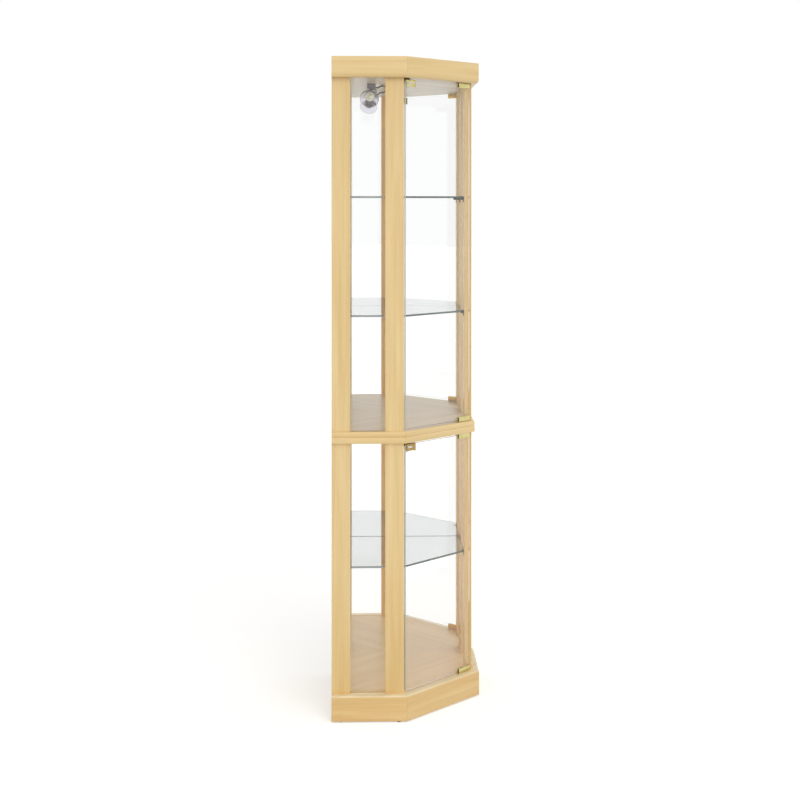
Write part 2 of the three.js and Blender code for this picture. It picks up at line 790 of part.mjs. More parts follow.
add(pan, 'lamp_arm', join(arm,
  rod(swivelRadius, [0, 0, armTop - swivelHeight], [0, 0, armTop], roundSides),
  rod(tiltPinRadius, [0, armInside + armThickness / 2, pivotZ], [0, armInside - tiltPinLength, pivotZ])),
lampGrey());

const tilt = new THREE.Group();
tilt.position.set(0, -headOffset, pivotZ);
tilt.rotation.y = THREE.MathUtils.degToRad(lampTilt);
pan.add(tilt);

// Turned shapes of the head: the profile is (radius, distance along the aim)
function turned(profile, sides = roundSides) {
  const geometry = new THREE.LatheGeometry(profile.map(([a, b]) => new THREE.Vector2(a, b)), sides);
  return geometry.rotateZ(-Math.PI / 2);
}
const socket = turned([
  [0, -socketBack],
  [socketBackRadius, -socketBack],
  [socketRadius, -socketBack / 2],
  [socketRadius, socketFront],
  [socketBore + fit, socketFront],
  [socketBore + fit, socketFront - socketBoreDepth],
  [0, socketFront - socketBoreDepth],
]);
add(tilt, 'lamp_socket', cut(socket, rod(tiltPinRadius + fit,
  [0, headOffset + armInside - tiltPinLength - fit, 0], [0, socketRadius + cutOverrun, 0])), lampGrey());

const rim = socketFront + fit + reflectorDepth;
const lensFloor = rim - lensSetback;
add(tilt, 'lamp_bulb', turned([
  [0, socketFront - socketBoreDepth + fit],
  [socketBore, socketFront - socketBoreDepth + fit],
  [socketBore, socketFront + fit],
  [reflectorNeck, socketFront + fit],
  [(reflectorNeck + reflectorRadius) / 2, socketFront + fit + reflectorDepth / 2],
  [reflectorRadius, rim],
  [reflectorRadius - reflectorWall, rim],
  [lensRadius, lensFloor],
  [lensRadius * Math.cos(Math.PI / 6), lensFloor + lensDome / 2],
  [lensRadius / 2, lensFloor + lensDome * Math.cos(Math.PI / 6)],
  [0, lensFloor + lensDome],
]), frostedGlass());

// The lead, with the gland moulded on its end where it leaves the cap through the back
const leadCurve = new THREE.CatmullRomCurve3(leadRoute.map((p) => new THREE.Vector3(...p)));
const leadSection = new THREE.Shape();
leadSection.absarc(0, 0, leadRadius, 0, Math.PI * 2);
const leadCore = new THREE.ExtrudeGeometry(leadSection, {
  steps: leadSteps, curveSegments: leadSides, extrudePath: leadCurve, bevelEnabled: false,
});
const glandBack = backThickness + fit;
const gland = new THREE.LatheGeometry([
  [0, 0],
  [glandRadius, 0],
  [glandRadius, glandBack],
  [glandCollar, glandBack],
  [glandCollar, glandBack + glandCollarThickness],
  [glandRadius, glandBack + glandCollarThickness],
  [glandTailRadius, glandBack + glandCollarThickness + glandTail],
  [0, glandBack + glandCollarThickness + glandTail],
].map(([a, b]) => new THREE.Vector2(a, b)), roundSides);
gland.rotateZ(-Math.PI / 2);
gland.translate(0, glandFromCorner, glandHeight);
add(walls, 'lamp_lead', join(gland, leadCore), blackRubber());

export default cabinet;
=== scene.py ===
import math
import bpy
import bmesh
import numpy as np
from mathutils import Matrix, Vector


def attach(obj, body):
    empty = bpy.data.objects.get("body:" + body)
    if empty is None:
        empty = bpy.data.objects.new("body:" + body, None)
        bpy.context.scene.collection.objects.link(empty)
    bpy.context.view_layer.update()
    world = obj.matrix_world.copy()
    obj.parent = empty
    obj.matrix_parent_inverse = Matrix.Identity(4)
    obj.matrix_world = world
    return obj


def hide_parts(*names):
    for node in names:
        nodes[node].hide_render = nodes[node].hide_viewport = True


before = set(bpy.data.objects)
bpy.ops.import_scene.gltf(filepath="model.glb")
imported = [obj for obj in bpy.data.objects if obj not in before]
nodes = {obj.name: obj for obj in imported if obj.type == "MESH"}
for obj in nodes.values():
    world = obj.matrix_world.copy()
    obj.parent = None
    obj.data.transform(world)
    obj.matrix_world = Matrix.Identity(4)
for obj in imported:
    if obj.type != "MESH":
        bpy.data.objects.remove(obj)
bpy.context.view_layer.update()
scene = bpy.context.scene
mm = 0.001
print("stage: frame loaded,", len(nodes), "nodes")

# The case in millimetres. u is the distance from the right-hand wall and v from the left-hand one,
# both from the back corner; the doors lie on the diagonal front.
case = {
    "wallLength": 390.0, "sideWidth": 194.0, "totalHeight": 1778.0,
    "footHeight": 3.0, "baseTop": 71.0, "middleBottom": 741.5, "middleTop": 773.0, "capBottom": 1721.6,
    "baseOverhang": 21.0, "middleOverhang": 9.0, "capOverhang": 20.0,
    "railThickness": 18.0, "stileWidth": 50.0, "stileThickness": 22.0, "fit": 0.3,
}
wall = case["wallLength"]
side = case["sideWidth"]
fit = case["fit"]
root = math.sqrt(0.5)
mitre = math.sqrt(2.0) - 1.0
halfDepth = ((wall + side) * root + case["baseOverhang"]) / 2
frontHalf = (wall - side) * root
frontPlane = case["baseOverhang"] - halfDepth
panes = {"ease": 0.8, "doorEase": 0.3, "doorThickness": 5.0, "doorCorner": 2.0, "cornerSteps": 6,
         "doorGap": 5.0, "leadGap": 6.6, "hingeGap": 9.1, "shelfThickness": 5.0, "shelfSetback": 20.0,
         "shelfClearance": 1.0, "mirrorFront": 10.3, "post": 18.0}
doorFree = -frontHalf + panes["leadGap"]
doorHung = frontHalf - panes["hingeGap"]

# The weld is in metres and the angles in degrees
shaping = {"weld": 1e-6, "easeSteps": 3, "easeAngle": 40, "flatAngle": 1, "joinedAngle": 35}

# How far a face's outward direction has to go one way to count as turned that way
facing = {"back": 0.5, "square": 0.7, "front": -0.9, "leftFront": -1.2}


# World points in metres from wall distances: x = (v - u) / root two, y = half depth - (u + v) / root two
def wallPoints(u, v, z):
    u, v, z = np.broadcast_arrays(*(np.asarray(a, float) for a in (u, v, z)))
    return np.stack([(v - u) * root, halfDepth - (u + v) * root, z], axis=-1) * mm


# World points in metres from places along the doors, behind their front face and above the floor
def doorPoints(x, y, z):
    x, y, z = np.broadcast_arrays(*(np.asarray(a, float) for a in (x, y, z)))
    return np.stack([x, y + frontPlane, z], axis=-1) * mm


# One object from points and faces
def meshPiece(name, points, faces, material, smooth=None, bevel=0.0, solidify=0.0):
    mesh = bpy.data.meshes.new(name)
    corners = np.asarray(points, float).reshape(-1, 3).tolist()
    mesh.from_pydata(corners, [], [list(map(int, f)) for f in faces])
    return finishPiece(name, mesh, material, smooth, bevel, solidify)


# Doubles merged, faces turned outward, edges past the smooth angle kept sharp, then wall and bevel
def finishPiece(name, mesh, material, smooth=None, bevel=0.0, solidify=0.0):
    bm = bmesh.new()
    bm.from_mesh(mesh)
    bmesh.ops.remove_doubles(bm, verts=bm.verts, dist=shaping["weld"])
    bmesh.ops.recalc_face_normals(bm, faces=bm.faces)
    bm.to_mesh(mesh)
    bm.free()
    if smooth is None:
        mesh.shade_flat()
    else:
        mesh.shade_smooth()
        mesh.set_sharp_from_angle(angle=math.radians(smooth))
    piece = bpy.data.objects.new(name, mesh)
    scene.collection.objects.link(piece)
    mesh.materials.append(material)
    if solidify:
        sheet = piece.modifiers.new("wall", "SOLIDIFY")
        sheet.thickness = solidify * mm
        sheet.offset = 0.0
    if bevel:
        edge = piece.modifiers.new("edge", "BEVEL")
        edge.width = bevel * mm
        edge.segments = shaping["easeSteps"]
        edge.limit_method = "ANGLE"
        edge.angle_limit = math.radians(shaping["easeAngle"])
    return piece


# A board, pin or lead from its solid: flat triangles joined to whole faces, edges eased
def easedCopy(name, node, material, ease=0.0, smooth=None):
    mesh = bpy.data.meshes.new(name)
    bm = bmesh.new()
    bm.from_mesh(nodes[node].data)
    bmesh.ops.remove_doubles(bm, verts=bm.verts, dist=shaping["weld"])
    if ease:
        flat = math.radians(shaping["flatAngle"])
        bmesh.ops.dissolve_limit(bm, angle_limit=flat, verts=bm.verts, edges=bm.edges)
    bm.to_mesh(mesh)
    bm.free()
    return finishPiece(name, mesh, material, smooth, ease)


# Quads of a grid of points (row, column), wrapped round where a direction is closed
def gridFaces(rows, columns, closedRows=False, closedColumns=False):
    i = np.arange(rows if closedRows else rows - 1)
    j = np.arange(columns if closedColumns else columns - 1)
    a, b = np.meshgrid(i, j, indexing="ij")
    nextA, nextB = (a + 1) % rows, (b + 1) % columns
    quads = [a * columns + b, nextA * columns + b, nextA * columns + nextB, a * columns + nextB]
    return np.stack(quads, axis=-1).reshape(-1, 4).tolist()


# A closed section carried through stations (station, point, xyz), with a flat face at each end
def loftPiece(name, stations, material, smooth=None, bevel=0.0):
    stations = np.asarray(stations, float)
    rows, columns = stations.shape[:2]
    faces = gridFaces(rows, columns, closedColumns=True)
    faces += [list(range(columns)), list(range((rows - 1) * columns, rows * columns))]
    return meshPiece(name, stations, faces, material, smooth, bevel)


# A plan outline raised from low to high
def prismPiece(name, outline, low, high, material, bevel=0.0, toWorld=wallPoints):
    outline = np.asarray(outline, float)
    stations = np.stack([toWorld(outline[:, 0], outline[:, 1], z) for z in (low, high)])
    return loftPiece(name, stations, material, bevel=bevel)


# A profile (radius, distance) turned about an axis: across = radius cos t, up = radius sin t
def turnedPiece(name, profile, toWorld, material, sides, smooth=35):
    profile = np.asarray(profile, float)
    t = np.linspace(0, 2 * math.pi, sides, endpoint=False)
    across = profile[:, :1] * np.cos(t)
    up = profile[:, :1] * np.sin(t)
    along = np.repeat(profile[:, 1:2], sides, axis=1)
    return loftPiece(name, toWorld(across, up, along), material, smooth)


# Points of a quarter of an ellipse: start + (corner - start) sin t + (end - corner) (1 - cos t)
def quarter(start, end, corner, steps=10):
    t = np.linspace(0, math.pi / 2, steps)[:, None]
    start, end, corner = (np.asarray(p, float) for p in (start, end, corner))
    return start + (corner - start) * np.sin(t) + (end - corner) * (1 - np.cos(t))


def rideFor(piece, body, slot, *replaced):
    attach(piece, body)
    if replaced:
        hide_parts(*replaced)
    return piece


def hexColour(text, alpha=1.0):
    parts = [int(text[i:i + 2], 16) / 255 for i in (1, 3, 5)]
    return tuple(c / 12.92 if c <= 0.04045 else ((c + 0.055) / 1.055) ** 2.4 for c in parts) + (alpha,)


# A node with its settings, its input values and the sockets that feed it
def addNode(tree, kind, settings=None, inputs=None, links=None):
    node = tree.nodes.new(kind)
    for key, value in (settings or {}).items():
        setattr(node, key, value)
    for key, value in (inputs or {}).items():
        node.inputs[key].default_value = value
    for key, source in (links or {}).items():
        tree.links.new(source, node.inputs[key])
    return node


def newMaterial(name):
    material = bpy.data.materials.new(name)
    material.use_nodes = True
    tree = material.node_tree
    tree.nodes.clear()
    output = addNode(tree, "ShaderNodeOutputMaterial")
    place = addNode(tree, "ShaderNodeTexCoord")
    return material, tree, output, place.outputs["Object"]


def noise(tree, place, scale, detail=2.0, roughness=0.5, distortion=0.0):
    values = {"Scale": scale, "Detail": detail, "Roughness": roughness, "Distortion": distortion}
    return addNode(tree, "ShaderNodeTexNoise", inputs=values, links={"Vector": place}).outputs["Fac"]


def stretched(tree, place, scale):
    node = addNode(tree, "ShaderNodeMapping", inputs={"Scale": scale}, links={"Vector": place})
    return node.outputs["Vector"]


# A colour that goes through stops of (place, tone)
def tones(tree, value, stops):
    node = addNode(tree, "ShaderNodeValToRGB", links={"Fac": value})
    ramp = node.color_ramp
    while len(ramp.elements) < len(stops):
        ramp.elements.new(0.5)
    for element, (place, colour) in zip(ramp.elements, stops):
        element.position = place
        element.color = hexColour(colour)
    return node.outputs["Color"]


# A value carried from one span to another, and held at its ends
def spread(tree, value, source, target):
    spans = {"From Min": source[0], "From Max": source[1], "To Min": target[0], "To Max": target[1]}
    return addNode(tree, "ShaderNodeMapRange", inputs=spans, links={"Value": value}).outputs["Result"]


def bumps(tree, height, strength, distance):
    return addNode(tree, "ShaderNodeBump", inputs={"Strength": strength, "Distance": distance},
                   links={"Height": height}).outputs["Normal"]


def multiplied(tree, first, second):
    return addNode(tree, "ShaderNodeVectorMath", {"operation": "MULTIPLY"},
                   links={0: first, 1: second}).outputs["Vector"]


def surfaced(tree, output, inputs, links):
    surface = addNode(tree, "ShaderNodeBsdfPrincipled", inputs=inputs, links=links)
    tree.links.new(surface.outputs["BSDF"], output.inputs["Surface"])


# Lengths in millimetres; the tones are light, middle and dark. Only frame is the maple's own colour;
# the other sets are copies of it made lighter, darker or warmer for how light falls on a part.
# Painted light: the plinth deck, the ledge (a painted sheen) and the inside of the left back upright.
# Painted shade: the plinth, the middle board, the ceiling, the other uprights' insides and the right
# front stile's end. The painted shade stops tint the uprights by share of the height: darker and
# warmer at the foot and a little darker at the head, and inside warmer low and cooler high.
maple = {
    "frame": ("#E8CD97", "#E3C58B", "#DAB97D"), "insideLeft": ("#FCCE86", "#F8C476", "#ECB466"),
    "insideRight": ("#F1C482", "#E9BA70", "#DCAB5E"), "plinth": ("#E4C48A", "#DEBB7D", "#D4AD6E"),
    "plinthDeck": ("#F9DAA0", "#F5D293", "#EBC583"), "middleBoard": ("#E4CCA4", "#DCC196", "#D3B688"),
    "ceiling": ("#D4C5A6", "#CBB997", "#C0AC87"), "endRight": ("#E8C886", "#E3C07A", "#DAB46C"),
    "insideBack": ("#FFF0D4", "#FFECCB", "#FCE4BC"), "ledge": ("#EAD7AD", "#E5CFA2", "#DBC18F"),
    "outsidePaintedShade": [(0.07, "#F6F0E2"), (0.24, "#FFFFFF"), (0.78, "#FFFFFF"), (0.95, "#F8F5F0")],
    "endPaintedShade": [(0.07, "#F6F0E2"), (0.24, "#FFFAF0"), (0.55, "#FFFDF4"), (0.85, "#FFFFFF")],
    "insidePaintedShade": [(0.20, "#FFF5C6"), (0.55, "#F6FCE8"), (0.85, "#F1FFFF")],
    "figureLength": 420.0, "figureWidth": 26.0, "lineSpacing": 5.5, "lineLength": 280.0,
    "fleckLength": 9.0, "fleckWidth": 0.9, "roughness": (0.33, 0.45), "coat": 0.25,
}


# Light maple, planed, sanded and sprayed with clear satin lacquer: faint long figure, fine lines,
# short dark flecks, and an even soft gloss. grain is the turn in degrees that brings the board's
# length to Z. The flecks are drawn wider than real ones, so that they show. paintedShade names the
# stops of a tint that changes with the share of the height: painted shade on the uprights.
def lacqueredMaple(name, grain, wood="frame", paintedShade=None):
    material, tree, output, place = newMaterial(name)
    turned = addNode(tree, "ShaderNodeMapping", inputs={"Rotation": tuple(math.radians(a) for a in grain)},
                     links={"Vector": place}).outputs["Vector"]

    def grainNoise(width, length, **settings):
        size = (1000 / width, 1000 / width, 1000 / length)
        return noise(tree, stretched(tree, turned, size), scale=1.0, **settings)

    figure = grainNoise(maple["figureWidth"], maple["figureLength"], detail=3.0, distortion=0.5)
    colour = tones(tree, figure, list(zip((0.30, 0.52, 0.78), maple[wood])))
    lines = grainNoise(maple["lineSpacing"], maple["lineLength"], detail=5.0, roughness=0.6)
    flecks = grainNoise(maple["fleckWidth"], maple["fleckLength"])
    shade = addNode(tree, "ShaderNodeMath", {"operation": "MULTIPLY"},
                    links={0: spread(tree, lines, (0.35, 0.75), (1.03, 0.93)),
                           1: spread(tree, flecks, (0.58, 0.8), (1.0, 0.86))})
    colour = addNode(tree, "ShaderNodeVectorMath", {"operation": "SCALE"},
                     links={0: colour, "Scale": shade.outputs["Value"]}).outputs["Vector"]
    # The tint by height is painted shade, not a colour of the wood
    if paintedShade:
        axes = addNode(tree, "ShaderNodeSeparateXYZ", links={"Vector": place})
        height = addNode(tree, "ShaderNodeMath", {"operation": "DIVIDE"}, {1: case["totalHeight"] * mm},
                         {0: axes.outputs["Z"]})
        colour = multiplied(tree, colour, tones(tree, height.outputs["Value"], maple[paintedShade]))
    surfaced(tree, output, {"Coat Weight": maple["coat"], "Coat Roughness": 0.2, "IOR": 1.5},
             {"Base Color": colour, "Roughness": spread(tree, lines, (0.3, 0.7), maple["roughness"]),
              "Normal": bumps(tree, lines, strength=0.12, distance=0.0004)})
    return material


glass = {"pane": "#FFFFFF", "shelf": "#D8DBDA", "dust": 0.02}


# Clear float glass, drawn flat and polished by its own melt: nearly colourless from the front and
# mirror-smooth, with a breath of finger marks in its gloss
def floatGlass(name, tint):
    material, tree, output, place = newMaterial(name)
    marks = noise(tree, place, scale=9.0, detail=6.0, roughness=0.65)
    surfaced(tree, output, {"Base Color": hexColour(tint), "Transmission Weight": 1.0, "IOR": 1.5},
             {"Roughness": spread(tree, marks, (0.5, 0.85), (0.0, glass["dust"]))})
    return material


# The ground and polished edge of a pane: the iron in a long way through the sheet leaves it green,
# with darker streaks. The doors' edges are drawn near white: painted light for the light that comes
# through the edge. Where deep is a tone, a door's edge goes over to it from its front to its back:
# painted shade.
def polishedEdge(name, dark, light, clear=0.25, deep=None):
    material, tree, output, place = newMaterial(name)
    tone = tones(tree, noise(tree, place, scale=14.0, detail=3.0), [(0.3, dark), (0.7, light)])
    if deep:
        axes = addNode(tree, "ShaderNodeSeparateXYZ", links={"Vector": place})
        front = frontPlane * mm
        depth = spread(tree, axes.outputs["Y"], (front, front + panes["doorThickness"] * mm), (0.0, 1.0))
        tone = multiplied(tree, tone, tones(tree, depth, [(0.45, "#FFFFFF"), (0.75, deep)]))
    surfaced(tree, output, {"Roughness": 0.12, "IOR": 1.5, "Transmission Weight": clear},
             {"Base Color": tone})
    return material


# Silvered float glass: a cool bright reflection, a little lost in the glass, with cleaning streaks
def silveredMirror(name):
    material, tree, output, place = newMaterial(name)
    streaks = noise(tree, stretched(tree, place, (6.0, 6.0, 1.2)), scale=1.5, detail=5.0)
    surfaced(tree, output, {"Base Color": hexColour("#FDFEFE"), "Metallic": 1.0},
             {"Roughness": spread(tree, streaks, (0.45, 0.8), (0.0, 0.03))})
    return material


# Brass plating, buffed and lacquered: it mirrors the room softly, with buffing lines and slightly
# darker clouds
def platedBrass(name, dark, light):
    material, tree, output, place = newMaterial(name)
    lines = noise(tree, stretched(tree, place, (60.0, 900.0, 900.0)), scale=1.0, detail=3.0)
    tone = tones(tree, noise(tree, place, scale=70.0), [(0.3, dark), (0.7, light)])
    surfaced(tree, output, {"Metallic": 1.0},
             {"Base Color": tone, "Roughness": spread(tree, lines, (0.3, 0.7), (0.24, 0.36))})
    return material


# A moulded, painted or plated part: an even tone with a fine grit, in millimetres, in its gloss
def grittyPart(name, dark, light, roughness, grit, metallic=0.0):
    material, tree, output, place = newMaterial(name)
    grains = noise(tree, place, scale=1000 / grit, detail=3.0)
    tone = tones(tree, noise(tree, place, scale=35.0), [(0.3, dark), (0.7, light)])
    gloss = spread(tree, grains, (0.3, 0.7), (roughness - 0.06, roughness + 0.06))
    surfaced(tree, output, {"Metallic": metallic},
             {"Base Color": tone, "Roughness": gloss,
              "Normal": bumps(tree, grains, strength=0.3, distance=0.00008)})
    return material


# Bare hardboard, wood fibre pressed flat: matt brown-yellow with short fibres every way
def pressedHardboard(name):
    material, tree, output, place = newMaterial(name)
    fibres = noise(tree, place, scale=420.0, detail=4.0, distortion=1.5)
    both = addNode(tree, "ShaderNodeMath", {"operation": "MULTIPLY_ADD"}, {1: 0.6},
                   {0: fibres, 2: noise(tree, place, scale=6.0, detail=3.0)})
    tone = tones(tree, both.outputs["Value"], [(0.55, "#C0A274"), (0.80, "#C9AC7E"), (1.0, "#D1B68B")])
    surfaced(tree, output, {"Roughness": 0.75},
             {"Base Color": tone, "Normal": bumps(tree, fibres, strength=0.25, distance=0.0003)})
    return material


# Coated lamp glass, pressed with small facets: clear, with a breath of violet in its coating
def coatedLampGlass(name):
    material, tree, output, place = newMaterial(name)
    facets = addNode(tree, "ShaderNodeTexVoronoi", inputs={"Scale": 260.0},
                     links={"Vector": place}).outputs["Distance"]
    surfaced(tree, output, {"Transmission Weight": 0.92, "Roughness": 0.08, "IOR": 1.2},
             {"Base Color": tones(tree, facets, [(0.0, "#FAF9FF"), (0.7, "#EDEBF7")]),
              "Normal": bumps(tree, facets, strength=0.3, distance=0.0004)})
    return material


# The lamp's front lens, pressed glass with a frosted back: bright, faintly green, a little cloudy
def frostedLens(name):
    material, tree, output, place = newMaterial(name)
    clouds = noise(tree, place, scale=160.0, detail=3.0)
    surfaced(tree, output, {"Coat Weight": 0.5, "Coat Roughness": 0.05},
             {"Base Color": tones(tree, clouds, [(0.38, "#D0D6AE"), (0.60, "#FFFFFC")]),
              "Roughness": spread(tree, clouds, (0.0, 1.0), (0.15, 0.35))})
    return material


uprightGrain = (0, 0, 0)
levelGrain = (0, 90, 0)
railGrains = {"left": (90, 45, 0), "front": levelGrain, "right": (90, -45, 0)}
# The uprights' tint by height is painted shade. Their insides and the right front stile's end are copies of
# the maple with painted shade, and the left back upright's inside has painted light
mapleUpright = lacqueredMaple("lacqueredMapleUpright", uprightGrain, paintedShade="outsidePaintedShade")
mapleEndPaintedShade = lacqueredMaple("lacqueredMapleEndRightPaintedShade", uprightGrain, "endRight", "endPaintedShade")
mapleInsideLightAndShade = {"leftBack": lacqueredMaple("lacqueredMapleInsideBackPaintedLight", uprightGrain, "insideBack"),
               "left": lacqueredMaple("lacqueredMapleInsideLeftPaintedShade", uprightGrain, "insideLeft"),
               "right": lacqueredMaple("lacqueredMapleInsideRightPaintedShade", uprightGrain, "insideRight",
                                       "insidePaintedShade")}
capWoods = {}
# The plinth's rails take a darker, warmer copy of the maple: painted shade
plinthWoods = {}
for sideName, grain in railGrains.items():
    capWoods[sideName] = lacqueredMaple("lacqueredMaple" + sideName.title(), grain)
    plinthWoods[sideName] = lacqueredMaple("lacqueredPlinth" + sideName.title(), grain, "plinth")
ledgePaintedSheen = lacqueredMaple("lacqueredPlinthLedgePaintedSheen", levelGrain, "ledge")
# The plinth deck is a lighter copy of the maple (painted light); the middle board and ceiling are greyer,
# darker copies (painted shade)
plinthDeckPaintedLightWood = lacqueredMaple("lacqueredPlinthDeckPaintedLight", levelGrain, "plinthDeck")
middlePaintedShadeWood = lacqueredMaple("lacqueredMapleBoardPaintedShade", levelGrain, "middleBoard")
ceilingPaintedShadeWood = lacqueredMaple("lacqueredMapleCeilingPaintedShade", levelGrain, "ceiling")
paneGlass = floatGlass("clearFloatGlass", glass["pane"])
shelfGlass = floatGlass("greenishShelfGlass", glass["shelf"])
# The shelves' edges are coloured by face, the back darkest and the sides palest: painted shade and painted
# light on one glass. The doors' edges are painted light with a painted shade at their back
edgeGlass = {"back": polishedEdge("polishedEdgeBack", "#263C38", "#3E5C54"),
             "front": polishedEdge("polishedEdgeFront", "#2C4A46", "#4C6E66"),
             "side": polishedEdge("polishedEdgeSide", "#A2AEAB", "#BCC6C3"),
             "upper": polishedEdge("polishedEdgeUpperDoor", "#F4F8FA", "#FFFFFF", 0.1, "#C4D4D4"),
             "lower": polishedEdge("polishedEdgeLowerDoor", "#F0F8F6", "#FFFFFF", 0.1, "#5C7A6C")}
mirrorSilver = silveredMirror("silveredMirror")
brassFinish = platedBrass("lacqueredBrassPlate", "#C9BE7C", "#DDD29A")
# The clamps' backs take a warmer gold than their fronts: a painted reflection of the maple they face
brassBackPaintedReflection = platedBrass("lacqueredBrassBackPaintedReflection", "#E0B048", "#F2C664")
# The lower strike takes a darker copy of the brass: painted shade
brassLowerPaintedShade = platedBrass("lacqueredBrassLowerPaintedShade", "#A78A50", "#BC9F64")
hardboard = pressedHardboard("bareHardboard")
footPlastic = grittyPart("mouldedFootPlastic", "#6E5840", "#866E52", 0.55, 0.5)
brownPlastic = grittyPart("mouldedBrownPlastic", "#2C1E16", "#3E2C20", 0.45, 0.5)
blackRubber = grittyPart("extrudedBlackRubber", "#3A3536", "#4A4446", 0.55, 0.4)
greyPaint = grittyPart("satinGreyPaint", "#66626A", "#77727A", 0.38, 0.35, 0.2)
pinSteel = grittyPart("blackenedPinSteel", "#4B4845", "#625E59", 0.35, 0.4, 1.0)
nickelPlate = grittyPart("brightNickelPlate", "#C9C6C0", "#DEDBD6", 0.25, 0.4, 1.0)
lampGlass = coatedLampGlass("coatedLampGlass")
lensGlass = frostedLens("frostedPressedLens")
print("stage: materials made")


# Each face of a piece takes the material that pick gives for its outward direction
def dressFaces(piece, materials, pick):
    for material in materials:
        piece.data.materials.append(material)
    normals = np.zeros(len(piece.data.polygons) * 3, np.float32)
    piece.data.polygons.foreach_get("normal", normals)
    piece.data.polygons.foreach_set("material_index", pick(normals.reshape(-1, 3)).astype(np.int32))


# A section (outward, height) along one face of the case, each end cut on the mitre: at outward o a
# side rail runs from the wall to side width + o tan 22.5 degrees, less half a fit
def railPiece(name, sideName, section, material):
    section = np.asarray(section, float)
    o, z = section[:, 0], section[:, 1]
    end = side + o * mitre
    half = fit / 2
    if sideName == "front":
        ends = [(wall + o - half * root, end + half * root), (end + half * root, wall + o - half * root)]
    elif sideName == "left":
        ends = [(wall + o, o * 0), (wall + o, end - half)]
    else:
        ends = [(end - half, wall + o), (o * 0, wall + o)]
    stations = np.stack([wallPoints(ends[0][0] + (ends[1][0] - ends[0][0]) * t,
                                    ends[0][1] + (ends[1][1] - ends[0][1]) * t, z) for t in (0.0, 1.0)])
    return loftPiece(name, stations, material, smooth=30)


plinth = {"edgeRadius": 6.0, "lowEase": 1.2, "ledgeSlope": 0.3}


def plinthSection():
    inner, outer = case["baseOverhang"] - case["railThickness"], case["baseOverhang"]
    low, high, r, e = case["footHeight"], case["baseTop"], plinth["edgeRadius"], plinth["lowEase"]
    return np.vstack([[[inner, low]], quarter((outer - e, low), (outer, low + e), (outer, low), steps=4),
                      quarter((outer, high - r), (outer - r, high), (outer, high)), [[inner, high]]])


cap = {"lowHeight": 12.0, "lowDepth": 8.0, "topRadius": 1.5}


def capSection():
    inner, outer = case["capOverhang"] - case["railThickness"], case["capOverhang"]
    low, high, r = case["capBottom"], case["totalHeight"], cap["topRadius"]
    start, end = (outer - cap["lowDepth"], low), (outer, low + cap["lowHeight"])
    return np.vstack([[[inner, low]], quarter(start, end, (outer, low), steps=12),
                      quarter((outer, high - r), (outer - r, high), (outer, high), steps=5), [[inner, high]]])


waist = {"lowerBead": 17.0, "groove": 2.5, "beadRound": 5.0, "topRound": 8.0, "topDepth": 5.6,
         "deckReach": 2.0, "ease": 0.6}


def waistSection(inner):
    low, high, outer = case["middleBottom"], case["middleTop"], case["middleOverhang"]
    grooveZ, grooveOut = low + waist["lowerBead"], outer - waist["groove"]
    r, e = waist["beadRound"], waist["ease"]
    return np.vstack([
        [[inner, low]], quarter((outer - e, low), (outer, low + e), (outer, low), steps=4),
        quarter((outer, grooveZ - r), (grooveOut, grooveZ), (outer, grooveZ)),
        quarter((grooveOut, grooveZ), (outer, grooveZ + r), (outer, grooveZ))[1:],
        quarter((outer, high - waist["topRound"]), (outer - waist["topDepth"], high), (outer, high)),
        [[inner, high]]])


for sideName in ("left", "front", "right"):
    piece = railPiece("plinth_" + sideName, sideName, plinthSection(), plinthWoods[sideName])
    # The plinth's upward faces take a paler wood: a painted sheen on the ledge
    dressFaces(piece, [ledgePaintedSheen], lambda n: np.where(n[:, 2] > plinth["ledgeSlope"], 1, 0))
    rideFor(piece, "case", "maple_plinth", "base_rail_" + sideName)
    rideFor(railPiece("cornice_" + sideName, sideName, capSection(), capWoods[sideName]),
            "case", "maple", "cap_rail_" + sideName)
    inner = fit + (waist["deckReach"] if sideName == "front" else 0.0)
    rideFor(railPiece("waist_" + sideName, sideName, waistSection(inner), capWoods[sideName]),
            "case", "maple", "moulding_" + sideName)
print("stage: rails and mouldings made")

stile = {"ease": 0.7, "groove": 2.3, "grooveDepth": 8.0, "rebate": 10.0, "back": 6.0}


def twin(sideName, outline):
    outline = np.asarray(outline, float)
    return outline if sideName == "left" else outline[::-1, ::-1]


# A stile's plan, with its groove for the side glass and the back one's rebate for the back
def stilePlan(place):
    inner = wall - case["stileThickness"]
    middle = wall - case["stileThickness"] / 2
    near, far, depth = middle - stile["groove"], middle + stile["groove"], stile["grooveDepth"]
    if place == "back":
        width = case["stileWidth"]
        rebate, back = inner + stile["rebate"] + fit, stile["back"] + fit
        return [[inner, back], [rebate, back], [rebate, 0], [wall, 0], [wall, width], [far, width],
                [far, width - depth], [near, width - depth], [near, width], [inner, width]]
    low = side - case["stileWidth"]
    return [[inner, side], [inner, low], [near, low], [near, low + depth], [far, low + depth],
            [far, low], [wall, low], [wall, side]]


# The wood on an upright's faces: 0 outside, 1 inside, 2 on the end that faces left and front. The inside and
# end woods carry painted shade, and the left back upright's inside carries painted light.
def uprightWood(n, hasEnd):
    atEnd = (n[:, 0] + n[:, 1] < facing["leftFront"]) & hasEnd
    return np.where(n[:, 1] > facing["back"], 1, np.where(atEnd, 2, 0))


for sideName in ("left", "right"):
    for place in ("back", "front"):
        piece = prismPiece("upright_%s_%s" % (sideName, place), twin(sideName, stilePlan(place)),
                           case["baseTop"], case["capBottom"], mapleUpright, stile["ease"])
        rightEnd = sideName == "right" and place == "front"
        insideWood = mapleInsideLightAndShade["leftBack" if (sideName, place) == ("left", "back") else sideName]
        dressFaces(piece, [insideWood, mapleEndPaintedShade], lambda n: uprightWood(n, rightEnd))
        rideFor(piece, "case", "maple", "stile_%s_%s" % (sideName, place))

shelfTops = {"lower": 406.25, "middle": 1083.0, "upper": 1404.0}


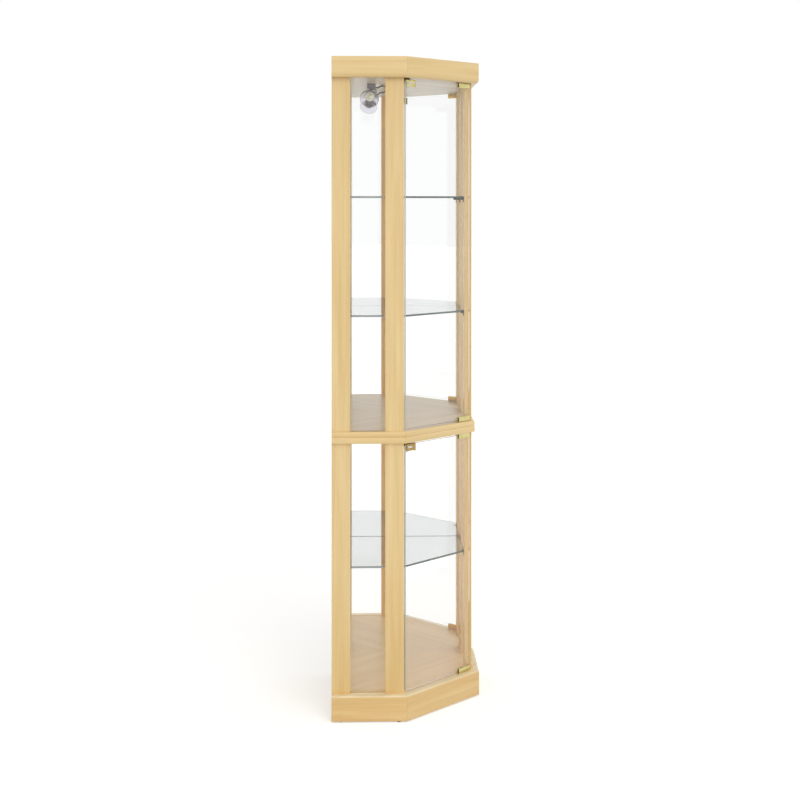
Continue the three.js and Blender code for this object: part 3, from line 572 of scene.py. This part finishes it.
# A pane with flat-polished edges: index 0 is glass, and pick gives the index of a narrow face
def glassPiece(name, outline, low, high, axis, materials, pick, ease, toWorld=wallPoints):
    piece = prismPiece(name, outline, low, high, materials[0], ease, toWorld)
    axis = np.asarray(axis, float)
    dressFaces(piece, materials[1:], lambda n: np.where(np.abs(n @ axis) > facing["square"], 0, pick(n)))
    piece.modifiers["edge"].material = 0
    piece.modifiers["edge"].segments = 1
    return piece


# A shelf's narrow faces: 1 at the sides, 2 at the front and 3 at the back, each coloured apart for painted
# light and shade
def shelfEdges(n):
    return np.where(n[:, 1] > facing["back"], 3, np.where(n[:, 1] < facing["front"], 2, 1))


# A door's narrow faces: 1 on its free edge and its top, which take the door's painted-light edge
def doorEdges(n):
    return np.where((n[:, 0] < -facing["square"]) | (n[:, 2] > facing["square"]), 1, 0)


inner = wall - case["stileThickness"]
shelfBack = panes["mirrorFront"] + panes["shelfClearance"]
shelfSide = inner - panes["shelfClearance"]
shelfSum = wall + side - panes["shelfSetback"] * math.sqrt(2)
notch = 2 * (panes["post"] + panes["shelfClearance"]) - shelfBack
half = [[notch, shelfBack], [shelfSide, shelfBack], [shelfSide, shelfSum - shelfSide]]
shelfPlan = half + [p[::-1] for p in half[::-1]]
for shelf, top in shelfTops.items():
    piece = glassPiece("glass_shelf_" + shelf, shelfPlan, top - panes["shelfThickness"], top, (0, 0, 1),
                       [shelfGlass, edgeGlass["side"], edgeGlass["front"], edgeGlass["back"]],
                       shelfEdges, panes["ease"])
    rideFor(piece, "case", "shelf_glass", "shelf_" + shelf)

doorSpans = {"upper": (case["middleTop"], case["capBottom"]),
             "lower": (case["baseTop"], case["middleBottom"])}


# A rectangle along the door with small rounded corners, as (along, up)
def doorOutline(low, high):
    z0, z1, r = low + panes["doorGap"], high - panes["doorGap"], panes["doorCorner"]
    left, right = doorFree + r, doorHung - r
    outline = []
    for turn, (x, z) in enumerate([(right, z1 - r), (left, z1 - r), (left, z0 + r), (right, z0 + r)]):
        t = np.linspace(0, math.pi / 2, panes["cornerSteps"]) + turn * math.pi / 2
        outline.append(np.stack([x + r * np.cos(t), z + r * np.sin(t)], axis=1))
    return np.vstack(outline)


for door, (low, high) in doorSpans.items():
    piece = glassPiece("pane_door_" + door, doorOutline(low, high), 0.0, panes["doorThickness"], (0, 1, 0),
                       [paneGlass, edgeGlass[door]], doorEdges, panes["doorEase"],
                       lambda along, up, back: doorPoints(along, back, up))
    rideFor(piece, "door_" + door, "door_glass", "door_glass_" + door)
print("stage: uprights and panes made")


# Several shells in one object, with their modifiers applied
def joinPieces(name, pieces):
    depsgraph = bpy.context.evaluated_depsgraph_get()
    bm = bmesh.new()
    for piece in pieces:
        mesh = bpy.data.meshes.new_from_object(piece.evaluated_get(depsgraph))
        bm.from_mesh(mesh)
        bpy.data.meshes.remove(mesh)
    mesh = bpy.data.meshes.new(name)
    bm.to_mesh(mesh)
    bm.free()
    material = pieces[0].data.materials[0]
    for piece in pieces:
        bpy.data.objects.remove(piece)
    mesh.shade_smooth()
    mesh.set_sharp_from_angle(angle=math.radians(shaping["joinedAngle"]))
    mesh.materials.append(material)
    whole = bpy.data.objects.new(name, mesh)
    scene.collection.objects.link(whole)
    return whole


clamp = {"length": 46.0, "height": 14.0, "thickness": 10.0, "gap": 1.0, "ease": 1.2, "pinRadius": 2.5,
         "reach": 8.0, "pinInset": 15.1, "pinRoot": 1.0, "pinEase": 0.6, "pinSides": 20}


# A channel on the corner of the glass, rounded outside, with its pivot pin. direction is 1 for the
# clamp under a board and -1 for the one on a board
def clampPiece(door, place, boardFace, direction):
    middle = panes["doorThickness"] / 2
    front, back = middle - clamp["thickness"] / 2, middle + clamp["thickness"] / 2
    end = boardFace - direction * clamp["gap"]
    opened = end - direction * clamp["height"]
    web = boardFace - direction * (panes["doorGap"] - fit)
    slot = panes["doorThickness"] + fit
    section = np.array([[front, opened], [front, end], [back, end], [back, opened],
                        [slot, opened], [slot, web], [-fit, web], [-fit, opened]])
    stations = np.stack([doorPoints(x, section[:, 0], section[:, 1])
                         for x in (doorHung - clamp["length"], doorHung)])
    body = loftPiece("body", stations, brassFinish, bevel=clamp["ease"])
    pivot = frontHalf - clamp["pinInset"]
    foot = end - direction * clamp["pinRoot"]
    tip = boardFace + direction * clamp["reach"]
    r, e = clamp["pinRadius"], clamp["pinEase"]
    profile = [[0, foot], [r, foot], [r, tip - direction * e], [r - e, tip], [0, tip]]
    pin = turnedPiece("pin", profile, lambda a, b, c: doorPoints(pivot + a, middle + b, c), brassFinish,
                      clamp["pinSides"])
    whole = joinPieces("clamp_%s_%s" % (door, place), [body, pin])
    # Faces turned to the back take the warmer gold: a painted reflection
    dressFaces(whole, [brassBackPaintedReflection], lambda n: np.where(n[:, 1] > facing["back"], 1, 0))
    return whole


shadowGap = {"length": 3.4, "inset": 1.0, "proud": 1.6, "clear": 0.15, "gap": 0.1, "ease": 0.3}


# A dark brown strip between clamp and glass that shows at the clamp's inner end, where the gap falls in
# shade: a painted shade
def shadowGapPiece(door, place, boardFace, direction):
    end = boardFace - direction * (clamp["gap"] + shadowGap["inset"])
    opened = end - direction * (clamp["height"] - 2 * shadowGap["inset"])
    front, back = -shadowGap["proud"], -shadowGap["clear"]
    section = np.array([[front, opened], [front, end], [back, end], [back, opened]])
    x1 = doorHung - clamp["length"]
    stations = np.stack([doorPoints(x, section[:, 0], section[:, 1])
                         for x in (x1 - shadowGap["length"], x1 - shadowGap["gap"])])
    return loftPiece("gasket_%s_%s" % (door, place), stations, brownPlastic, bevel=shadowGap["ease"])


# rows and step space the points up the front and along the door
strike = {"inset": 2.0, "length": 36.0, "height": 21.0, "sheet": 1.2, "bend": 1.6, "bendSteps": 6,
          "window": 18.0, "windowHeight": 6.5, "windowDrop": 6.0, "windowInset": 6.0,
          "arch": 2.5, "archRise": 5.0, "backLip": 4.0, "rows": 16, "step": 3.0, "end": 1.5}


# A folded brass sheet: a path down the front, over the top and down the back, against places along
# the door. The front's lower edge is arched, and the faces in the window are left out
def strikePiece(door, glassTop):
    sheet, bend, rows, length = strike["sheet"], strike["bend"], strike["rows"], strike["length"]
    outer = -fit - sheet / 2
    innerY = panes["doorThickness"] + fit + sheet / 2
    top = glassTop + fit + sheet / 2
    low = top - strike["height"]
    t = np.linspace(0, math.pi / 2, strike["bendSteps"])
    path = np.vstack([
        np.stack([np.full(rows, outer), np.linspace(low, top - bend, rows)], axis=1),
        np.stack([outer + bend - bend * np.cos(t[1:]), top - bend + bend * np.sin(t[1:])], axis=1),
        np.stack([innerY - bend + bend * np.sin(t), top - bend + bend * np.cos(t)], axis=1),
        [[innerY, low + strike["backLip"]]]])
    windowLeft, windowTop = strike["windowInset"], top - strike["windowDrop"]
    windowRight, windowLow = windowLeft + strike["window"], windowTop - strike["windowHeight"]
    end = length - strike["end"]
    places = np.concatenate([[0, strike["end"]], np.arange(windowLeft, end, strike["step"]), [end, length]])
    snapped = path[:, 1].copy()
    for edge in (windowTop, windowLow):
        snapped[np.argmin(np.abs(path[:rows, 1] - edge))] = edge
    y = np.repeat(path[:, :1], len(places), axis=1)
    z = np.repeat(snapped[:, None], len(places), axis=1)
    lift = strike["arch"] * (1 - (2 * places / length - 1) ** 2)[None, :]
    fade = np.clip(1 - (z - low) / strike["archRise"], 0, 1) * (np.arange(len(path)) < rows)[:, None]
    points = doorPoints(doorFree + strike["inset"] + places[None, :], y, z + lift * fade)
    faces = np.array(gridFaces(len(path), len(places)))
    row, column = faces[:, 0] // len(places), faces[:, 0] % len(places)
    middle = (snapped[row] + snapped[row + 1]) / 2
    centre = (places[column] + places[column + 1]) / 2
    inWindow = ((row < rows - 1) & (middle < windowTop) & (middle > windowLow)
                & (centre > windowLeft) & (centre < windowRight))
    # The lower strike is darker: painted shade
    finish = brassFinish if door == "upper" else brassLowerPaintedShade
    return meshPiece("strike_" + door, points, faces[~inWindow], finish, smooth=50, solidify=sheet)


keeper = {"proud": 1.1, "clear": 0.15, "inset": 0.2, "ease": 0.25}


# The bright plate that shows in the strike's window, which the latch holds
def keeperPiece(door, glassTop):
    x0 = doorFree + strike["inset"] + strike["windowInset"] + keeper["inset"]
    x1 = x0 + strike["window"] - 2 * keeper["inset"]
    top = glassTop + fit + strike["sheet"] / 2 - strike["windowDrop"] - keeper["inset"]
    low = top - strike["windowHeight"] + 2 * keeper["inset"]
    front, back = -keeper["proud"], -keeper["clear"]
    return prismPiece("keeper_" + door, [[x0, front], [x1, front], [x1, back], [x0, back]], low, top,
                      nickelPlate, keeper["ease"], doorPoints)


latch = {"length": 20.0, "depth": 14.0, "height": 13.0, "fromCorner": 16.2, "setback": 10.6, "ease": 1.0,
         "collarGap": 0.5, "collarWall": 1.5, "collarProud": 0.8, "collarEase": 0.4, "collarRoot": 1.0,
         "plungerFromCorner": 26.0, "plungerRadius": 3.0, "grip": 6.5, "dome": 1.2, "domeSteps": 8,
         "sides": 28}


# The push latch's box: a rounded brick under the board with the plunger's collar on its front
def latchPiece(door, boardFace):
    x0, y0 = -frontHalf + latch["fromCorner"], latch["setback"]
    x1, y1 = x0 + latch["length"], y0 + latch["depth"]
    box = prismPiece("box", [[x0, y0], [x1, y0], [x1, y1], [x0, y1]], boardFace - latch["height"], boardFace,
                     brownPlastic, latch["ease"], doorPoints)
    x, z = -frontHalf + latch["plungerFromCorner"], boardFace - latch["height"] / 2
    bore = latch["plungerRadius"] + latch["collarGap"]
    rim, front, back = bore + latch["collarWall"], y0 - latch["collarProud"], y0 + latch["collarRoot"]
    e, sides = latch["collarEase"], latch["sides"]
    ring = np.array([[bore, front], [rim - e, front], [rim, front + e], [rim, back], [bore, back]])
    t = np.linspace(0, 2 * math.pi, sides, endpoint=False)
    stations = doorPoints(x + ring[:, :1] * np.cos(t), ring[:, 1:2], z + ring[:, :1] * np.sin(t))
    faces = gridFaces(len(ring), sides, closedRows=True, closedColumns=True)
    return joinPieces("latch_" + door, [box, meshPiece("collar", stations, faces, brownPlastic, smooth=35)])


# The plunger: a rod whose tip is domed, tip + dome (1 - cos t) at radius r sin t
def plungerPiece(door, boardFace):
    x, z = -frontHalf + latch["plungerFromCorner"], boardFace - latch["height"] / 2
    r, end = latch["plungerRadius"], latch["setback"] + latch["grip"]
    tip = panes["doorThickness"] + fit + strike["sheet"] + fit
    t = np.linspace(0, math.pi / 2, latch["domeSteps"])
    dome = np.stack([r * np.sin(t), tip + latch["dome"] * (1 - np.cos(t))], axis=1)
    return turnedPiece("plunger_" + door, np.vstack([dome, [[r, end], [0, end]]]),
                       lambda a, b, c: doorPoints(x + a, c, z + b), nickelPlate, latch["sides"])


for door, (low, high) in doorSpans.items():
    body = "door_" + door
    for place, face, direction in (("top", high, 1), ("bottom", low, -1)):
        rideFor(clampPiece(door, place, face, direction), body, "brass", "hinge_clamp_%s_%s" % (door, place))
        rideFor(shadowGapPiece(door, place, face, direction), body, "latch_plastic")
    rideFor(strikePiece(door, high - panes["doorGap"]), body, "brass", "strike_clip_" + door)
    rideFor(keeperPiece(door, high - panes["doorGap"]), body, "pin_steel")
    rideFor(latchPiece(door, high), "case", "latch_plastic", "latch_body_" + door)
    rideFor(plungerPiece(door, high), "latch_plunger_" + door, "pin_steel", "latch_plunger_" + door)
print("stage: door fittings made")

lamp = {"u": 165.0, "v": 108.6, "base": 24.0, "baseHeight": 13.0, "baseEase": 1.6, "pan": -8.0,
        "tilt": 30.0, "drop": 31.5, "headOffset": 3.5}
pivotZ = case["capBottom"] - lamp["drop"]
armTop = case["capBottom"] - lamp["baseHeight"] - fit
panAngle = math.radians(lamp["pan"])
tiltAngle = math.radians(lamp["tilt"])


# Points of the lamp's own frame: x is the way it aims before tilting, turned in plan by the pan
def armPoints(x, y, z):
    x, y, z = np.broadcast_arrays(*(np.asarray(a, float) for a in (x, y, z)))
    c, s = math.cos(panAngle), math.sin(panAngle)
    return wallPoints(lamp["u"] + x * c - y * s, lamp["v"] + x * s + y * c, z)


# Points about the aim: along it, across it and up from it, tilted down about the pivot
def headPoints(across, up, along):
    c, s = math.cos(tiltAngle), math.sin(tiltAngle)
    return armPoints(along * c + up * s, across - lamp["headOffset"], pivotZ + up * c - along * s)


arm = {"reach": 14.5, "thickness": 3.0, "width": 8.0, "foot": 5.5, "bend": 5.0, "bendSteps": 10,
       "ease": 0.5, "swivel": 5.0, "swivelHeight": 3.6, "swivelInset": 0.6, "swivelEase": 0.4,
       "hub": 4.4, "hubCrown": 3.2, "hubHeight": 1.4, "hubShoulder": 0.6, "hubRoot": 0.2,
       "pin": 2.0, "pinRoot": 0.1, "pinLength": 5.0, "sides": 28}


# The arm's strip: a line out from the swivel, a quarter turn and a line down, with its thickness
def armStations():
    reach, thick, bend = arm["reach"], arm["thickness"], arm["bend"]
    t = np.linspace(0, math.pi / 2, arm["bendSteps"])
    edges = []
    for inset, r in ((0.0, bend), (thick, bend - thick)):
        turn = np.stack([reach - bend + r * np.sin(t), armTop - bend + r * np.cos(t)], axis=1)
        edges.append(np.vstack([[[-arm["swivel"], armTop - inset]], turn,
                                [[reach - inset, pivotZ - arm["foot"]]]]))
    half = arm["width"] / 2
    corners = ((edges[0], -half), (edges[0], half), (edges[1], half), (edges[1], -half))
    return np.stack([armPoints(x, p[:, 0], p[:, 1]) for p, x in corners], axis=1)


# The bracket: the bent strip, the swivel that it pans on, and the hub and pin that the head tilts on
def bracketPiece():
    strip = loftPiece("strip", armStations(), greyPaint, smooth=35, bevel=arm["ease"])
    r, foot = arm["swivel"], armTop - arm["swivelHeight"]
    profile = [[0, armTop], [r, armTop], [r, foot + arm["swivelEase"]],
               [r - arm["swivelInset"], foot], [0, foot]]
    swivel = turnedPiece("swivel", profile, armPoints, greyPaint, arm["sides"])
    outside, inside = arm["reach"], arm["reach"] - arm["thickness"]
    crown, end = outside + arm["hubHeight"], inside - arm["pinLength"]
    profile = [[0, crown], [arm["hubCrown"], crown], [arm["hub"], outside + arm["hubShoulder"]],
               [arm["hub"], outside - arm["hubRoot"]], [arm["pin"], inside - arm["pinRoot"]],
               [arm["pin"], end], [0, end]]
    hub = turnedPiece("hub", profile, lambda a, b, c: armPoints(a, c, pivotZ + b), greyPaint, arm["sides"])
    return joinPieces("lamp_bracket", [strip, swivel, hub])


base = lamp["base"] / 2
corners = ((-base, -base), (base, -base), (base, base), (-base, base))
square = [[lamp["u"] + u, lamp["v"] + v] for u, v in corners]
rideFor(prismPiece("lamp_block", square, case["capBottom"] - lamp["baseHeight"], case["capBottom"], greyPaint,
                   lamp["baseEase"]), "case", "lamp_grey", "lamp_base")
rideFor(bracketPiece(), "lamp_arm", "lamp_grey", "lamp_arm")

socket = {"back": 10.0, "front": 3.0, "radius": 13.0, "backRadius": 9.5, "grooves": (-2.6, 0.2),
          "grooveHalf": 0.8, "grooveFloor": 0.4, "grooveDepth": 0.9, "ease": 0.6, "bore": 7.3,
          "boreDepth": 9.0, "sides": 48}


# The socket's outline along the aim, with two cooling grooves round it
def socketProfile():
    r, back, front, e = socket["radius"], socket["back"], socket["front"], socket["ease"]
    half, flat, deep = socket["grooveHalf"], socket["grooveFloor"], r - socket["grooveDepth"]
    points = [[0, -back], [socket["backRadius"], -back], [r, -back / 2]]
    for place in socket["grooves"]:
        points += [[r, place - half], [deep, place - flat], [deep, place + flat], [r, place + half]]
    bore, bottom = socket["bore"], front - socket["boreDepth"]
    return points + [[r, front - e], [r - e, front], [bore, front], [bore, bottom], [0, bottom]]


shell = turnedPiece("lamp_shell", socketProfile(), headPoints, greyPaint, socket["sides"], smooth=30)
rideFor(shell, "lamp_head", "lamp_grey", "lamp_socket")

skirt = {"radius": 27.0, "neck": 12.0, "depth": 19.0, "wall": 1.6, "power": 0.9, "steps": 14, "lip": 0.3,
         "lipSteps": 6, "plug": 7.0, "plugDepth": 8.7, "sides": 64}
lens = {"radius": 14.0, "setback": 14.3, "seat": 0.2, "dome": 9.0, "rings": 4, "ringHeight": 0.8,
        "lift": 0.1, "rimRise": 0.5, "steps": 72, "sides": 64}
skirtStart = socket["front"] + fit
skirtRim = skirtStart + skirt["depth"]
lensFloor = skirtRim - lens["setback"]


# The glass skirt: a neck, then radius = neck + (skirt - neck) s to a power against s of its depth,
# a round rim, and the inner wall back to the floor that the lens sits on
def skirtProfile():
    radius, neck, half = skirt["radius"], skirt["neck"], skirt["wall"] / 2
    s = np.linspace(0, 1, skirt["steps"])
    flare = neck + (radius - neck) * s ** skirt["power"]
    outside = np.stack([flare, skirtStart + skirt["depth"] * s], axis=1)
    t = np.linspace(0, math.pi, skirt["lipSteps"])[1:-1]
    lip = np.stack([radius - half + half * np.cos(t), skirtRim + skirt["lip"] * (np.sin(t) - 1)], axis=1)
    reach = radius - skirt["wall"]
    inward = lens["radius"] + lens["seat"] - reach
    insideWall = np.stack([reach + inward * s, skirtRim - lens["setback"] * s], axis=1)
    plug, bottom = skirt["plug"], socket["front"] - skirt["plugDepth"]
    return np.vstack([[[0, bottom], [plug, bottom], [plug, skirtStart]], outside, lip, insideWall,
                      [[0, lensFloor]]])


# The lens: a dome, radius lens cos t against dome sin t, with rings pressed into it
def lensProfile():
    low = lensFloor + lens["lift"]
    t = np.linspace(0, math.pi / 2, lens["steps"])
    rings = lens["ringHeight"] * np.cos(4 * lens["rings"] * t) * np.sqrt(np.cos(t))
    dome = np.stack([lens["radius"] * np.cos(t), low + lens["dome"] * np.sin(t) + rings], axis=1)
    dome[0, 1] = low + lens["rimRise"]
    dome[-1, 0] = 0
    return np.vstack([[[0, low], [lens["radius"], low]], dome])


glassSkirt = turnedPiece("lamp_skirt", skirtProfile(), headPoints, lampGlass, skirt["sides"], smooth=40)
rideFor(glassSkirt, "lamp_head", "lamp_glass", "lamp_bulb")
frontLens = turnedPiece("lamp_lens", lensProfile(), headPoints, lensGlass, lens["sides"], smooth=60)
rideFor(frontLens, "lamp_head", "lamp_glass")
print("stage: lamp made")

# Solids whose shape is right: eased in millimetres, or with their facets smoothed
boardEase = 0.5
boards = {
    "base_deck": (plinthDeckPaintedLightWood, "maple_plinth"), "middle_deck": (middlePaintedShadeWood, "maple"),
    "ceiling_panel": (ceilingPaintedShadeWood, "ceiling_board"), "top_board": (capWoods["front"], "maple"),
    "corner_post": (mapleUpright, "maple"), "back_panel_left": (hardboard, "back_board"),
    "back_panel_right": (hardboard, "back_board"),
}
for name, (material, slot) in boards.items():
    rideFor(easedCopy("board_" + name, name, material, boardEase), "case", slot, name)
for name in nodes:
    if name.startswith("foot_"):
        rideFor(easedCopy("pad_" + name, name, footPlastic, boardEase), "case", "foot_plastic", name)
    if name.startswith("shelf_pin_"):
        rideFor(easedCopy("peg_" + name, name, pinSteel, smooth=50), "case", "pin_steel", name)
rideFor(easedCopy("lead_sheath", "lamp_lead", blackRubber, smooth=60), "case", "lead_rubber", "lamp_lead")
keptNodes = {"mirror_left": mirrorSilver, "mirror_right": mirrorSilver,
             "side_glass_left": paneGlass, "side_glass_right": paneGlass}
for name, material in keptNodes.items():
    nodes[name].data.materials.clear()
    nodes[name].data.materials.append(material)
print("stage: boards, pins and lead made")

# A sun is the way that its light goes, and its strength
studio = {"floor": "#E6E6E4", "floorSize": 60.0, "floorLift": 0.38, "worldLevel": 0.60, "softness": 50.0}
suns = {"keyLight": ((0.35, 0.80, -0.42), 0.72), "fillLight": ((0.45, 0.60, -0.42), 0.48),
        "topLight": ((0.15, 0.2, -1.0), 0.35)}
white = (1, 1, 1, 1)


# How much of the background is seen by camera, glossy and transmission rays, from 0 to 1
def seenDirectly(tree):
    rays = addNode(tree, "ShaderNodeLightPath")
    seen = rays.outputs["Is Camera Ray"]
    for kind in ("Is Glossy Ray", "Is Transmission Ray"):
        seen = addNode(tree, "ShaderNodeMath", {"operation": "MAXIMUM"},
                       links={0: seen, 1: rays.outputs[kind]}).outputs["Value"]
    return seen


# A pale matt studio floor that goes out to white and still takes the object's shadow
def paleFloor():
    material, tree, output, place = newMaterial("matStudioFloor")
    gloss = spread(tree, noise(tree, place, scale=40.0), (0.0, 1.0), (0.85, 0.95))
    matt = addNode(tree, "ShaderNodeBsdfPrincipled",
                   inputs={"Base Color": hexColour(studio["floor"]), "Specular IOR Level": 0.0},
                   links={"Roughness": gloss})
    strength = addNode(tree, "ShaderNodeMath", {"operation": "MULTIPLY"}, {1: studio["floorLift"]},
                       {0: seenDirectly(tree)})
    lift = addNode(tree, "ShaderNodeEmission", inputs={"Color": white},
                   links={"Strength": strength.outputs["Value"]})
    both = addNode(tree, "ShaderNodeAddShader", links={0: matt.outputs["BSDF"], 1: lift.outputs["Emission"]})
    tree.links.new(both.outputs["Shader"], output.inputs["Surface"])
    return material


reach = studio["floorSize"] / 2
floor = meshPiece("floor", [[-reach, -reach, 0], [reach, -reach, 0], [reach, reach, 0], [-reach, reach, 0]],
                  [[0, 1, 2, 3]], paleFloor())

world = bpy.data.worlds.new("studioWorld")
scene.world = world
world.use_nodes = True
skyTree = world.node_tree
skyTree.nodes.clear()
skyOut = addNode(skyTree, "ShaderNodeOutputWorld")
skyLevel = spread(skyTree, seenDirectly(skyTree), (0.0, 1.0), (studio["worldLevel"], 1.0))
sky = addNode(skyTree, "ShaderNodeBackground", inputs={"Color": white}, links={"Strength": skyLevel})
skyTree.links.new(sky.outputs["Background"], skyOut.inputs["Surface"])

# Broad soft lights, the same all over the floor, whose discs show in no glass
for name, (direction, strength) in suns.items():
    light = bpy.data.lights.new(name, "SUN")
    light.energy = strength
    light.angle = math.radians(studio["softness"])
    sun = bpy.data.objects.new(name, light)
    scene.collection.objects.link(sun)
    sun.rotation_euler = Vector(direction).to_track_quat("-Z", "Y").to_euler()
    sun.visible_glossy = False
    sun.visible_transmission = False

view = {"place": (-3.0246, -2.9143, 1.3938), "heading": 43.44, "lens": 66.52, "sensor": 36.0,
        "shift": -0.25007}
camera = bpy.data.cameras.new("camera")
camera.lens = view["lens"]
camera.sensor_width = view["sensor"]
camera.shift_y = view["shift"]
cameraObject = bpy.data.objects.new("camera", camera)
scene.collection.objects.link(cameraObject)
cameraObject.location = view["place"]
cameraObject.rotation_euler = (math.radians(90), 0, math.radians(view["heading"] - 90))
scene.camera = cameraObject
scene.view_settings.view_transform = "Standard"
scene.cycles.blur_glossy = 0.0      # light that comes through glass onto mirrors isn't filtered away
print("stage: studio made")
